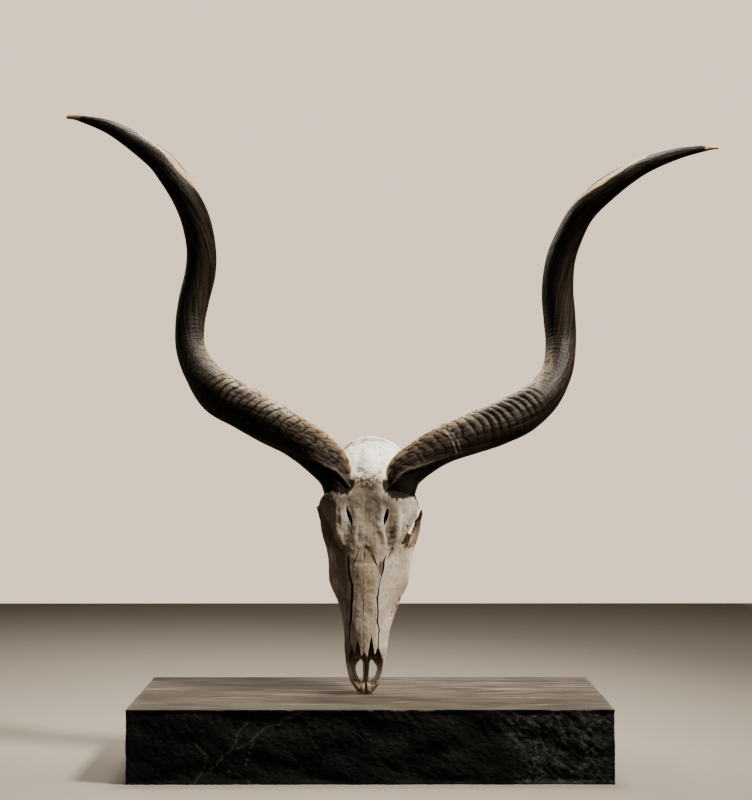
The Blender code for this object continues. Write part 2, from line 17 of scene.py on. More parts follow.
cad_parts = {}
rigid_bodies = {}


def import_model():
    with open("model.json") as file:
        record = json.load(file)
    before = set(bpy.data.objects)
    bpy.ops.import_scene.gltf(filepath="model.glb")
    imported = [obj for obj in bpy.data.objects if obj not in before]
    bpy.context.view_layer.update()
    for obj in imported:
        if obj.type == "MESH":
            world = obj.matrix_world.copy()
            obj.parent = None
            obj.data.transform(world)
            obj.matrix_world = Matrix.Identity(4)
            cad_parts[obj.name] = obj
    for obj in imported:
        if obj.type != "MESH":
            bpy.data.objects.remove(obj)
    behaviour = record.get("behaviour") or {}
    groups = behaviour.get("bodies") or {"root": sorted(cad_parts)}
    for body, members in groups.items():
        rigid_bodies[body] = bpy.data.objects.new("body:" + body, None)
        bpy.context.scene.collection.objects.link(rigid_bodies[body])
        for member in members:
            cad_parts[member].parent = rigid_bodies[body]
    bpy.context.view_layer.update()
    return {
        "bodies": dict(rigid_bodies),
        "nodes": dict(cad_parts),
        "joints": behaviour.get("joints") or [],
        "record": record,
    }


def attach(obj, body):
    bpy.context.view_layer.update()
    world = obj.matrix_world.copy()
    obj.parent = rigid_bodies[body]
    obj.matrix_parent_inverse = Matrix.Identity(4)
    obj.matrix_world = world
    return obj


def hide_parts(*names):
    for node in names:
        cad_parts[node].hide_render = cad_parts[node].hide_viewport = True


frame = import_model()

MM = 0.001
GAP = 0.3
"""Clearance between pieces that touch."""

SLAB_SIZE = (720, 330, 110)
CLEFT_DEPTH = 4.0
CLEFT_SPACING = 75
"""How far the riven sides of the slab fall back from its outer size, and how far apart the hollows are."""

NOSE_TIP = (-8, -16, SLAB_SIZE[2] + GAP)
SKULL_YAW = -4.5
SKULL_LEAN = 1.0
"""Degrees: the face turns to the viewer's left, and the skull leans a little to the right."""

PIN_OFFSET = 1.6
"""How far the pin stands to the right of the tip of the nose."""
PIN_RADIUS = 2.5
PIN_IN_STONE = 60
PIN_IN_SKULL = 174

BONE_VOXEL = 1.7
CUT_BONE_VOXEL = 1.4
BONE_SMOOTHING = 5

FOLD_SPACING = 13.5
FOLD_SHARPNESS = 0.75
"""How far apart the cross folds of a horn are, and the power that narrows the furrows between them."""
FOLD_HEIGHTS = ((0.0, 0.6), (0.1, 1.6), (0.2, 3.0), (0.29, 3.4), (0.33, 0.0))
"""How high the folds stand: share of the horn's length, and millimetres."""
FOLD_STRENGTH = {-1: 1.7, 1: 1.3}
"""How much finer folds stand out, for the left and the right horn."""
FOLD_SLANT = 10
FOLD_SLANTS = ((0.0, 0.0), (0.08, 1.0), (0.3, 1.0), (0.38, 0.0))
"""How far the folds reach ahead at the front of the horn, and the share of it along the horn."""
FOLD_SIDE = 300
"""Degrees from the front towards the outer side, where the folds stand highest."""
HORN_DEPTH_RATIO = 1.12
"""How deep a horn is against its width seen from the front."""

# Middle line of each horn, base to tip: x, y, z and the width seen from the front.
RIGHT_HORN = (
    (45, -12, 418, 54),
    (53, -6, 452, 60),
    (78, 0, 475, 59),
    (113, 7, 496, 60),
    (157, 19, 513, 65),
    (201, 36, 529, 69),
    (240, 55, 548, 67),
    (279, 76, 578, 59),
    (304, 98, 615, 53),
    (313, 121, 661, 53),
    (312, 131, 706, 56),
    (309, 131, 752, 55),
    (313, 121, 800, 51),
    (326, 106, 839, 47),
    (345, 90, 875, 44),
    (377, 74, 906, 41),
    (432, 55, 941, 29),
    (488, 45, 962, 20),
    (535, 39, 971, 11),
    (558, 38, 972, 5),
)
LEFT_HORN = (
    (-48, -5, 418, 54),
    (-54, 3, 450, 61),
    (-77, 12, 479, 66),
    (-117, 27, 508, 65),
    (-161, 48, 532, 70),
    (-206, 76, 557, 71),
    (-245, 103, 581, 71),
    (-277, 133, 613, 60),
    (-299, 161, 654, 52),
    (-302, 173, 697, 52),
    (-296, 179, 739, 54),
    (-285, 176, 785, 54),
    (-283, 168, 825, 52),
    (-290, 154, 867, 51),
    (-305, 141, 906, 50),
    (-330, 131, 943, 45),
    (-358, 125, 973, 39),
    (-422, 119, 1015, 26),
    (-477, 119, 1033, 12),
    (-501, 121, 1036, 7),
)

# How high the keel of a horn stands: share of the length, and millimetres.
KEEL_HEIGHTS = ((0.0, 10.0), (0.06, 3.0), (0.1, 2.5), (0.35, 4.5), (0.8, 3.0), (1.0, 0.3))
KEEL_SHARE = 0.5
"""The share of the keel's height that is inside the width seen from the front."""

# Outline of the face at each height: the front at the middle, then x, y of the edge of the nasal bones, of
# the slope of the cheek, of the widest place and of the tooth ridge, and the roof of the mouth at the middle.
FACE_SECTIONS = (
    (56, -26, (14, -24), (23, -13), (30, -3), (27, 13), 14),
    (72, -27, (16, -24), (27, -14), (33, 0), (28, 20), 20),
    (90, -27, (18, -24), (29, -13), (35, 4), (30, 27), 26),
    (110, -27, (20, -24), (31, -12), (38, 10), (34, 36), 32),
    (126, -27, (21, -24), (33, -11), (42, 18), (40, 45), 37),
    (142, -27, (22, -24), (36, -10), (49, 26), (43, 51), 41),
    (156, -27, (23, -24), (39, -9), (56, 29), (44, 56), 45),
    (172, -27, (24, -24), (42, -8), (61, 30), (45, 61), 50),
    (200, -27, (26, -24), (46, -7), (62, 28), (46, 69), 58),
    (222, -27, (28, -24), (50, -6), (62, 24), (44, 74), 64),
    (240, -28, (32, -25), (56, -6), (64, 14), (34, 66), 62),
    (258, -28, (37, -27), (64, -6), (70, 4), (26, 52), 55),
    (276, -28, (41, -28), (70, -8), (75, -2), (24, 46), 52),
    (292, -28, (43, -28), (71, -9), (75, 0), (28, 50), 55),
    (305, -28, (41, -27), (66, -10), (71, 4), (36, 56), 60),
    (314, -27, (26, -25), (53, -7), (63, 6), (38, 56), 60),
    (322, -25, (20, -22), (37, -5), (50, 10), (38, 56), 60),
    (332, -20, (18, -17), (30, -4), (44, 12), (36, 54), 58),
    (342, -11, (16, -9), (26, 0), (38, 14), (32, 48), 54),
)

# Braincase at each height: middle in y, half depth and half width.
BRAINCASE_SECTIONS = (
    (296, 30, 38, 44),
    (320, 27, 48, 50),
    (340, 38, 45, 52),
    (358, 47, 41, 52),
    (372, 54, 34, 49),
    (384, 59, 26, 42),
    (392, 60, 18, 32),
    (397, 58, 10, 18),
)

# Bars and plates of bone on the right side: x, y, z, half width in x and half depth.
CHEEK_ARCH = (
    (50, 30, 156, 6, 9),
    (57, 31, 174, 6, 11),
    (59, 33, 200, 6, 12),
    (64, 38, 223, 5.5, 11),
    (70, 42, 240, 5.5, 10),
    (74, 44, 258, 5, 9),
    (75, 45, 274, 5, 8),
    (71, 48, 292, 5, 8),
    (63, 54, 312, 5.5, 9),
    (48, 60, 328, 7, 10),
)
# Each side of the nose is a slanting plate: its front edge, its middle and its back edge.
NOSE_BAR = (
    (9, 0, 8, 6.5, 6),
    (17, 0, 16, 5, 6),
    (22, -1, 27, 4.5, 6),
    (26.4, -2, 42, 3.6, 7),
    (28.4, -2, 58, 3.6, 9),
    (29.6, -2, 78, 4.4, 10),
    (28, -1, 96, 3, 6),
)
NOSE_MIDDLE = (
    (12, 4, 12, 5, 4),
    (17.5, 4, 22, 4, 5),
    (21, 4, 32, 3.8, 5),
    (23, 4, 42, 3.6, 5),
    (24, 5, 54, 4, 5),
    (22, 6, 66, 6, 5),
)
NOSE_BACK = (
    (7, 8, 13, 4, 3.5),
    (12, 9, 20, 4, 3.5),
    (17.5, 9, 30, 3.5, 3.5),
    (19.3, 9, 42, 3.6, 3.5),
    (15.5, 10, 54, 7.5, 3.5),
    (14, 11, 66, 11, 3.5),
)
PALATINE_BAR = ((2.4, 3, 8, 2.8, 4.5), (2.4, 6, 34, 2.8, 4.5), (3, 11, 54, 3.2, 5), (6, 17, 74, 4, 5))
TOOTH_RIDGE = (
    (30, 29, 102, 6, 6),
    (34, 36, 124, 8, 8),
    (40, 50, 168, 9, 8),
    (40, 63, 208, 9, 8),
    (37, 68, 232, 7, 7),
)
PTERYGOID_PLATE = (
    (16, 62, 220, 3, 11),
    (16, 66, 244, 2.8, 14),
    (17, 68, 268, 2.8, 12),
    (18, 72, 290, 3.2, 8),
)
EAR_SPIKE = ((34, 78, 372, 8, 10), (34, 96, 365, 5.5, 8), (32, 112, 354, 3.5, 5), (31, 118, 348, 2, 3))
HORN_BOSS = ((44, 2, 276, 22, 22), (47, 7, 298, 25, 28), (47, 8, 308, 25, 29), (48, 9, 315, 22, 26))
BROW_RIDGE = ((26, -14, 212, 6, 5), (40, -18, 240, 9, 7), (46, -18, 268, 10, 9), (46, -19, 300, 9, 8))
SKULL_BASE = (
    (0, 60, 262, 12, 8),
    (0, 70, 290, 13, 10),
    (0, 80, 320, 15, 10),
    (0, 84, 350, 15, 9),
    (0, 82, 378, 15, 9),
)
RIGHT_BARS = (
    CHEEK_ARCH,
    NOSE_BAR,
    NOSE_MIDDLE,
    NOSE_BACK,
    PALATINE_BAR,
    TOOTH_RIDGE,
    PTERYGOID_PLATE,
    EAR_SPIKE,
    HORN_BOSS,
    BROW_RIDGE,
)

# The rise of the forehead into the braincase: centre and half sizes.
FOREHEAD_RISE = ((0, 50, 322), (36, 66, 62))

# Rounded lumps on the right side: centre and half sizes.
NOSE_LUMP = ((5, 0, 9), (13, 8, 9))
CONDYLE = ((17, 86, 384), (11, 13, 12))
EAR_BULB = ((27, 88, 328), (11, 13, 17))
EAR_TUBE = ((47, 66, 344), (11, 7, 7))
MASTOID = ((43, 66, 366), (13, 17, 14))

# The crest across the back of the head, an arch seen from the front.
CREST_CENTRE = (0, 48, 360)
CREST_REACH = (48, 36)
CREST_SWEEP = 74
CREST_RADIUS = 4.5

# The ring of bone round an eye socket.
ORBIT_CENTRE = (70, 17, 259)
ORBIT_REACH = (22, 27)
ORBIT_SLANT = (3, 10)
"""How much further out the ring lies at its back and at its top than at its centre."""
ORBIT_RIM = 4.5
ORBIT_TILT = 20
SOCKET_CENTRE = (88, 16, 262)
SOCKET_SIZE = (46, 20, 23)

# Openings through the bone.
NOSE_CAVITY = (
    (50, -8, 13, 20),
    (58, -7, 13, 20),
    (72, -4, 15, 20),
    (88, 0, 22, 20),
    (114, 2, 27, 21),
    (138, 3, 23, 19),
    (156, 3, 14, 13),
    (164, 3, 5, 5),
)
CHOANA = ((0, 62, 250), (12, 17, 36))
FORAMEN_MAGNUM = ((0, 73, 396), (12, 10, 34))
TEMPLE_HOLLOW = ((66, 34, 306), (12, 18, 15))
FACE_HOLE = ((38, 5, 124), (8, 3, 6))

# The zigzag that the lower ends of the nasal bones leave open, as x, z.
NASAL_ENDS = (
    (-25.5, 50),
    (-25.5, 62),
    (-21, 78),
    (-15.5, 65),
    (-11, 88),
    (-5, 62),
    (0, 68),
    (4.5, 61),
    (10, 96),
    (15.5, 64),
    (20.5, 78),
    (25.5, 62),
    (25.5, 50),
)
# The notch between the two halves of the tip of the nose, in front of the pin.
TIP_NOTCH = ((-0.4, -6), (3.6, -6), (3.2, 22), (0, 22))
END_DEPTHS = (-40, -1.5)

# Cheek teeth, front to back: length along the row and width across it.
TEETH = ((12, 11), (14, 13), (15, 15), (18, 17), (20, 17.5), (21, 16))
TOOTH_GAP = 0.5
TOOTH_CROWN = 8
TOOTH_ROOT = 7
TOOTH_WAIST = 0.12
"""How far the groove between a tooth's two lobes cuts in, as a share of its width."""
# A tooth's outline: height from the bone, and share of its full size.
TOOTH_PROFILE = (
    (-TOOTH_ROOT, 0.8),
    (-3, 0.86),
    (0, 0.94),
    (2, 0.99),
    (4, 1.0),
    (6, 0.98),
    (7.2, 0.93),
    (TOOTH_CROWN - 0.3, 0.87),
)
# The row of teeth: where it starts and ends, and how far it bows outwards between.
TOOTH_ROW = ((32, 43, 120), (38, 77, 223))
TOOTH_ROW_BOW = 3.5

# Finer tables, for the looks only.
HORN_RINGS = 560
HORN_RING_SIDES = 160
SHRINK = 0.7
"""How much a horn is slimmer all round than its table says, so that its fibres stay inside the part's box."""

# Open seams and cracks of the bone: how far in they reach, and their line as x, z and width.
CUT_START = -45
"""Where the cuts start, in front of the face."""
CRACKS = (
    # Beside the nasal bones, right and left.
    (
        -8,
        (
            (30.8, 223.4, 0.5), (29.6, 215.6, 1.2), (27.4, 209.1, 3.2), (26.7, 198.7, 3.0), (23.8, 185.7, 1.7),
            (20.8, 171.4, 1.6), (19.6, 160.9, 2.0), (17.9, 150.5, 2.6), (19.0, 140.2, 2.2), (19.6, 124.5, 2.2),
            (18.5, 115.3, 2.6), (20.8, 107.5, 2.0), (21.4, 98.4, 2.0), (20.6, 84.0, 1.8), (20.4, 72.0, 2.2),
        ),
    ),
    (
        -8,
        (
            (-28.0, 219.0, 0.5), (-27.6, 209.0, 3.0), (-27.4, 197.4, 3.4), (-25.5, 184.4, 3.4), (-21.7, 171.4, 3.6),
            (-20.9, 160.9, 4.0), (-21.1, 150.5, 4.2), (-21.9, 140.0, 4.2), (-21.9, 127.0, 4.0), (-22.9, 115.3, 3.4),
            (-23.9, 106.3, 2.8), (-24.2, 93.3, 2.2), (-23.6, 82.8, 2.0), (-22.0, 72.0, 2.0),
        ),
    ),
    # Between the nasal bones, and above them.
    (
        -25.6,
        (
            (-3.0, 198.0, 0.5), (-3.1, 184.0, 0.9), (-3.6, 161.0, 0.9), (-2.9, 137.5, 1.0), (-2.3, 114.0, 1.0),
            (-1.5, 90.0, 1.1), (-0.4, 60.0, 1.4),
        ),
    ),
    (-22, ((-3.2, 226.0, 0.7), (-3.4, 214.0, 1.7), (-3.0, 203.0, 0.5))),
    (
        -23,
        (
            (3.5, 232.0, 0.6), (8.0, 228.0, 1.0), (10.2, 220.8, 1.3), (13.0, 212.0, 2.0), (16.0, 203.5, 2.0),
            (17.5, 198.0, 0.5),
        ),
    ),
    (
        -23,
        (
            (-4.0, 231.6, 0.6), (-9.3, 228.5, 0.9), (-12.0, 223.0, 0.8), (-14.2, 218.0, 1.8), (-17.3, 208.0, 2.0),
            (-18.3, 202.0, 0.5),
        ),
    ),
    # Between the two frontal bones.
    (
        -26.4,
        (
            (1.6, 263.0, 0.5), (0.2, 257.0, 0.9), (1.4, 251.0, 1.0), (0.4, 245.0, 1.0), (1.2, 239.0, 0.8),
            (-0.4, 233.0, 0.5),
        ),
    ),
)
# The opening of the right eye socket, seen from the front, and slits above the eyes.
SOCKET_MOUTH = (
    10,
    (
        (79.5, 277.0, 0.6), (76.2, 270.0, 6.0), (73.5, 262.0, 9.0), (70.4, 255.0, 11.5), (67.0, 249.0, 12.4),
        (62.5, 243.0, 10.5), (56.5, 237.0, 6.0), (51.5, 233.0, 0.6),
    ),
)
BROW_SLITS = (
    (-8, ((32.4, 291.0, 0.8), (31.2, 284.0, 5.0), (29.2, 276.0, 6.0), (27.6, 269.0, 3.4), (26.4, 263.0, 0.8))),
    (-8, ((-31.6, 294.0, 0.8), (-30.2, 286.0, 3.8), (-27.4, 278.0, 5.4), (-24.6, 270.0, 4.4), (-22.8, 262.0, 0.8))),
    (-16, ((-25.6, 258.0, 0.5), (-24.2, 253.0, 2.4), (-22.0, 247.0, 0.6))),
)
# Small holes of the right cheek: x, y, z and radius, and how deep they are.
PORES = ((55.0, -10, 236.4, 2.4), (39.1, -20, 228.0, 1.9), (50.8, -12, 221.5, 1.5))
PORE_DEPTH = 8

# How far a normal has to point forwards for a place to lie on the front of the face, and to face forwards at all.
FRONT = (0.2, 0.7)
FACING = (-0.2, 0.2)
# How far the surface stands out across each brow, by x, and the heights between which it does.
LEFT_BROW = (
    (-62, -1.0), (-53, 0.0), (-46, 1.4), (-39, 1.6), (-34, -0.3), (-30, -2.2), (-25, -1.8), (-18, -0.3), (-10, 0.0),
)
RIGHT_BROW = ((12, 0.0), (20, 0.5), (24.5, 0.3), (29, -2.3), (35, -2.0), (42, -0.4), (48, 0.9), (54, 0.7), (62, 0.0))
BROW_HEIGHTS = (218, 256, 274, 304)
# Half the width that the nasal bones take up, by z.
NASAL_HALF_WIDTHS = ((60, 21), (110, 20), (145, 19), (172, 21), (200, 25), (204, 16), (222, 9.5), (232, 1))
# Small chips and stains: the x, z of both ends and the width.
MARKS = (
    ((-42, 382), (-33, 390), 3.0),
    ((-30, 394), (-27, 396), 1.6),
    ((49, 147), (51, 141), 1.5),
    ((45, 138), (46.5, 133), 1.5),
    ((37, 222), (34, 214), 1.4),
)
# Grooves of the face: the x, z of both ends, the depth and the width.
GROOVES = (
    ((-68, 252), (-44, 224), 4.0, 9),
    ((58, 232), (44, 218), 1.0, 7),
    ((20, 250), (22, 236), 1.0, 5),
    ((-12, 256), (-13, 238), 0.8, 3),
    ((3, 290), (2, 262), 0.9, 12),
    ((-7, 20), (-9, 3), 1.8, 1.8),
    ((8.5, 20), (10.5, 3), 1.8, 1.8),
)
# Where the forehead is wrinkled, and smoked with the painted shadow of the horns over it, the right brow pitted and
# the middle of the face rusty and stained: x, z.
WRINKLES = (2, 333)
SMOKE_AND_SHADOW = (5, 307)
PITTED_BROW = (57, 258)
RUST = (23.5, 198)
STAIN = (0, 178)
# Dark lines of the left cheek, smoke and painted shade, and of the right brow, painted shade: the x, z of both ends.
SMOKE_AND_SHADE_CHEEK = ((-66, 248), (-44, 226))
PAINTED_SHADE_BROW = ((37, 290), (44, 246))
# Where the painted shade of the left part of the face begins: z, x.
SHADE_EDGE = ((60, -23), (120, -24), (200, -27), (226, -32), (246, -45), (330, -45))
# The lower edge of the dark remains of the horn sheaths on the brow, painted partly as the shadow under the horns: x,
# z.
SHEATH_EDGE = (
    (-90, 320), (-74, 315), (-50, 311), (-32, 308), (-23, 318), (-19, 345), (20, 345), (24, 318), (38, 304), (55, 304),
    (75, 312), (90, 320),
)

# Where the keel lies round a horn: share of the length, and degrees from the front towards the outer side.
KEEL_ANGLES = (
    (0.0, -60), (0.02, -18), (0.045, 8), (0.08, 28), (0.13, 45), (0.2, 54), (0.34, 90), (0.55, 165), (0.8, 265),
    (1.0, 310),
)
KEEL_WIDTH = 0.08
KEEL_FINENESS = 0.65
"""How high the keel stands here, against the plainer solids."""
# Pale scars across the left and the right horn: how far along it they start, at its upper edge, and end.
SCARS = {-1: (), 1: ((118, 123), (125, 131))}
CREAM_EDGE = ((0.65, 255), (0.7, 283), (0.74, 306), (0.78, 328), (0.82, 318), (0.86, 300), (0.91, 262))
"""The edge of the worn streak near a horn's tip: share of the length, and degrees from the front."""
CREAM_WIDTH = ((0.65, 0), (0.7, 48), (0.78, 66), (0.86, 48), (0.91, 0))
TIP_LENGTH = 25
AMBER_STRENGTH = {-1: 0.9, 1: 0.25}
"""How amber the tip of the left and of the right horn is."""

FINE_VOXEL = 1.7
TOOTH_DETAIL = 56

SLAB_CELL = 2.4
CORNER_REACH = 12
"""How far from each upright edge of the slab the points give way to the edge's own hollow."""
# Grey veins on the front of the slab, as lines of x, z.
VEINS = (
    ((-176, 108), (-180, 91), (-195, 76), (-200, 58), (-204, 50), (-216, 41), (-228, 28), (-242, 14)),
    ((-101, 106), (-127, 95), (-136, 86), (-154, 84), (-166, 73), (-180, 60), (-192, 54), (-204, 50)),
    ((-171, 66), (-177, 50), (-182, 29)),
    ((-261, 60), (-251, 50), (-242, 41), (-241, 33), (-247, 20), (-259, 1)),
    ((-210, 20), (-192, 13), (-174, 1)),
)

# The studio: the floor's edges in metres, where it starts and ends to fade into the surroundings, their colour,
# their strength as light and as they are seen, and the two colours of the floor.
FLOOR = ((-6.0, -6.0), (6.0, 2.44))
FADE = (1.1, 2.4)
SURROUNDINGS = (1.0, 0.80, 0.60)
WORLD_STRENGTH = 0.09
BACKDROP_STRENGTH = 1.4
PAPER = ((0.30, 0.262, 0.215), (0.33, 0.29, 0.24))
# Each lamp: name, place, what it points at, size in metres, how far it spreads in degrees, power and colour.
LAMPS = (
    ("key", (1.6, -0.75, 2.6), (0.0, 0.0, 0.48), 0.5, 50, 17, (1.0, 0.93, 0.83)),
    ("overhead", (0.1, 0.7, 2.5), (0.0, 0.1, 0.4), 0.8, 120, 34, (1.0, 0.95, 0.87)),
    ("back", (-1.5, 1.9, 1.9), (0.0, 0.0, 0.48), 0.8, 50, 3, (1.0, 0.93, 0.84)),
)
# The camera: lens and sensor in millimetres, place in metres and turn in degrees.
CAMERA_LENS = 76.2
CAMERA_SENSOR = 36
CAMERA_PLACE = (0, -2.66, 0.521)
CAMERA_TURN = (91.01, 0, -0.19)


def value_noise(points, seed):
    """Smooth noise between about -1 and 1 at each row of points."""
    cells = np.floor(points).astype(np.int64)
    parts = points - cells
    blend = parts * parts * (3 - 2 * parts)
    total = np.zeros(len(points))
    for corner in product((0, 1), repeat=3):
        x, y, z = (cells + corner).T
        mix = (x * 73856093) ^ (y * 19349663) ^ (z * 83492791) ^ (seed * 668265263)
        mix = (mix ^ (mix >> 13)) * 1274126177
        value = ((mix ^ (mix >> 16)) & 0xFFFF) / 32767.5 - 1
        total += value * np.prod(np.where(corner, blend, 1 - blend), axis=1)
    return total


def rough(points, scale, seed, octaves=3):
    """Layers of noise, each half as large and half as strong as the one before."""
    total = np.zeros(len(points))
    for octave in range(octaves):
        places = points / np.array(scale) * 2**octave + 31.7 * octave
        total += value_noise(places, seed + octave) * 0.5**octave
    return total


def ramp(values, low, high):
    """0 up to low, 1 from high, and smooth between them. It also runs down, where high is below low."""
    share = np.clip((values - low) / (high - low), 0, 1)
    return share * share * (3 - 2 * share)


def band(values, low, full, high, end):
    """1 between full and high, and smooth down to 0 at low and at end."""
    return ramp(values, low, full) * ramp(values, end, high)


def unit(values):
    return np.clip(values, 0, 1)


def along_table(table, values):
    places, numbers = zip(*table)
    return np.interp(values, places, numbers)


def bake_modifiers(item):
    """Replaces an object's mesh by its evaluated one and drops its modifiers."""
    bpy.context.view_layer.update()
    evaluated = item.evaluated_get(bpy.context.evaluated_depsgraph_get())
    mesh = bpy.data.meshes.new_from_object(evaluated)
    item.modifiers.clear()
    item.data = mesh


def subtract(item, cutter):
    cut = item.modifiers.new(cutter.name, "BOOLEAN")
    cut.operation = "DIFFERENCE"
    cut.solver = "EXACT"
    cut.object = cutter


def fuse(item, voxel, smoothing):
    """Joins everything in a mesh into one skin of small faces, and softens it."""
    remesh = item.modifiers.new("fuse", "REMESH")
    remesh.mode = "VOXEL"
    remesh.voxel_size = voxel * MM
    if smoothing:
        smooth = item.modifiers.new("soften", "SMOOTH")
        smooth.factor = 0.5
        smooth.iterations = smoothing


def catmull_rom(rows, steps, closed=False):
    """A smooth line through rows of numbers, with this many steps between each two."""
    rows = np.array(rows, dtype=float)
    if closed:
        padded = np.vstack([rows[-1], rows, rows[:2]])
    else:
        padded = np.vstack([2 * rows[0] - rows[1], rows, 2 * rows[-1] - rows[-2]])
    line = []
    for before, start, end, after in zip(padded, padded[1:], padded[2:], padded[3:]):
        for t in np.arange(steps) / steps:
            line.append(
                start
                + 0.5 * t * (end - before)
                + t * t * (before - 2.5 * start + 2 * end - 0.5 * after)
                + t * t * t * (-0.5 * before + 1.5 * start - 1.5 * end + 0.5 * after)
            )
    if not closed:
        line.append(rows[-1])
    return np.array(line)


def mirrored(row, side):
    return (row[0] * side, *row[1:])


def add_rings(bm, rings, closed=False):
    """Skins rings of points, in millimetres, and caps the two ends unless the last ring meets the first."""
    made = [[bm.verts.new(Vector(point) * MM) for point in ring] for ring in rings]
    count = len(made[0])
    pairs = list(zip(made, made[1:]))
    if closed:
        pairs.append((made[-1], made[0]))
    for low, high in pairs:
        for i in range(count):
            j = (i + 1) % count
            bm.faces.new((low[i], low[j], high[j], high[i]))
    if not closed:
        bm.faces.new(made[0][::-1])
        bm.faces.new(made[-1])


def add_ellipsoid(bm, centre, sizes, tilt=0.0, segments=24):
    turn = Matrix.Rotation(math.radians(tilt), 4, "Y")
    scale = Matrix.Diagonal((*(size * MM for size in sizes), 1))
    place = Matrix.Translation(Vector(centre) * MM) @ turn @ scale
    bmesh.ops.create_uvsphere(bm, u_segments=segments, v_segments=segments // 2, radius=1, matrix=place)


def add_bar(bm, rows, sides=14, steps=4, closed=False):
    """A bar of oval section along a line of x, y, z, half width in x and half depth."""
    line = catmull_rom(rows, steps, closed)
    centres = line[:, :3]
    if closed:
        tangents = np.roll(centres, -1, axis=0) - np.roll(centres, 1, axis=0)
    else:
        tangents = np.gradient(centres, axis=0)
    rings = []
    for centre, tangent, (width, depth) in zip(centres, tangents, line[:, 3:]):
        along = Vector(tangent).normalized()
        across = Vector((1, 0, 0)) - along * along.x
        if across.length < 0.3:
            across = Vector((0, 0, 1)) - along * along.z
        across.normalize()
        back = along.cross(across)
        ring = []
        for i in range(sides):
            angle = 2 * math.pi * i / sides
            ring.append(Vector(centre) + across * width * math.cos(angle) + back * depth * math.sin(angle))
        rings.append(ring)
    add_rings(bm, rings, closed)


def oval_ring(z, middle, half_depth, half_width, count=40, fullness=0.88):
    """A level oval, slightly squarer than an ellipse."""
    ring = []
    for i in range(count):
        angle = 2 * math.pi * i / count
        x = math.copysign(abs(math.cos(angle)) ** fullness, math.cos(angle))
        y = math.copysign(abs(math.sin(angle)) ** fullness, math.sin(angle))
        ring.append((x * half_width, middle + y * half_depth, z))
    return ring


def stacked_ovals(sections, steps=3):
    line = catmull_rom([(*row[1:], row[0]) for row in sections], steps)
    return [oval_ring(z, middle, depth, width) for middle, depth, width, z in line]


def face_rings():
    rows = []
    for z, front, *edges, palate in FACE_SECTIONS:
        rows.append([z, front, palate, *(number for edge in edges for number in edge)])
    rings = []
    for z, front, palate, *numbers in catmull_rom(rows, 3):
        edges = list(zip(numbers[::2], numbers[1::2]))
        right = [(0, front), *edges, (0, palate)]
        left = [(-x, y) for x, y in reversed(edges)]
        outline = catmull_rom(right + left, 4, closed=True)
        rings.append([(x, y, z) for x, y in outline])
    return rings


def orbit_ring():
    """The line round an eye socket, as rows for add_bar."""
    rows = []
    for i in range(16):
        angle = 2 * math.pi * i / 16
        back, up = math.cos(angle), math.sin(angle)
        x = ORBIT_CENTRE[0] + ORBIT_SLANT[0] * back + ORBIT_SLANT[1] * up
        y = ORBIT_CENTRE[1] + ORBIT_REACH[0] * back
        z = ORBIT_CENTRE[2] + ORBIT_REACH[1] * up
        rows.append((x, y, z, ORBIT_RIM, ORBIT_RIM))
    return rows


def crest_arch():
    rows = []
    for degrees in np.linspace(-CREST_SWEEP, CREST_SWEEP, 13):
        angle = math.radians(degrees)
        x = CREST_CENTRE[0] + CREST_REACH[0] * math.sin(angle)
        z = CREST_CENTRE[2] + CREST_REACH[1] * math.cos(angle)
        rows.append((x, CREST_CENTRE[1], z, CREST_RADIUS, CREST_RADIUS))
    return rows


def new_object(name, bm, parent=None, material=None):
    """Turns a bmesh into an object of the scene, placed in its parent's frame."""
    mesh = bpy.data.meshes.new(name)
    bmesh.ops.recalc_face_normals(bm, faces=bm.faces)
    bm.to_mesh(mesh)
    bm.free()
    item = bpy.data.objects.new(name, mesh)
    bpy.context.scene.collection.objects.link(item)
    item.parent = parent
    if material:
        mesh.materials.append(material)
    return item


def grid_object(name, points, material):
    """An object from an array of rings of points, in millimetres, with a cap at each end."""
    rings, sides = points.shape[:2]
    index = np.arange(rings * sides).reshape(rings, sides)
    next_index = np.roll(index, -1, axis=1)
    faces = np.stack([index[:-1], next_index[:-1], next_index[1:], index[1:]], axis=-1).reshape(-1, 4).tolist()
    faces += [index[0][::-1].tolist(), index[-1].tolist()]
    mesh = bpy.data.meshes.new(name)
    mesh.from_pydata((points.reshape(-1, 3) * MM).tolist(), [], faces)
    mesh.materials.append(material)
    mesh.shade_smooth()
    item = bpy.data.objects.new(name, mesh)
    bpy.context.scene.collection.objects.link(item)
    return item


def finish_piece(item, slot, *nodes):
    """Puts the object's place into its mesh, so that it sits at the origin, and hands it to the frame."""
    bpy.context.view_layer.update()
    world = item.matrix_world.copy()
    item.parent = None
    item.data.transform(world)
    item.matrix_world = Matrix.Identity(4)
    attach(item, "root")
    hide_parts(*nodes)


def read_points(mesh):
    """Where the points of a mesh are, in millimetres, and their normals."""
    found = []
    for name in ("co", "normal"):
        values = np.empty(len(mesh.vertices) * 3)
        mesh.vertices.foreach_get(name, values)
        found.append(values.reshape(-1, 3))
    return found[0] / MM, found[1]


def set_attributes(mesh, masks):
    """Writes a number or a vector on each point of a mesh, for each name."""
    for name, values in masks.items():
        kind, field = ("FLOAT", "value") if values.ndim == 1 else ("FLOAT_VECTOR", "vector")
        layer = mesh.attributes.new(name, kind, "POINT")
        layer.data.foreach_set(field, values.astype(np.float32).ravel())


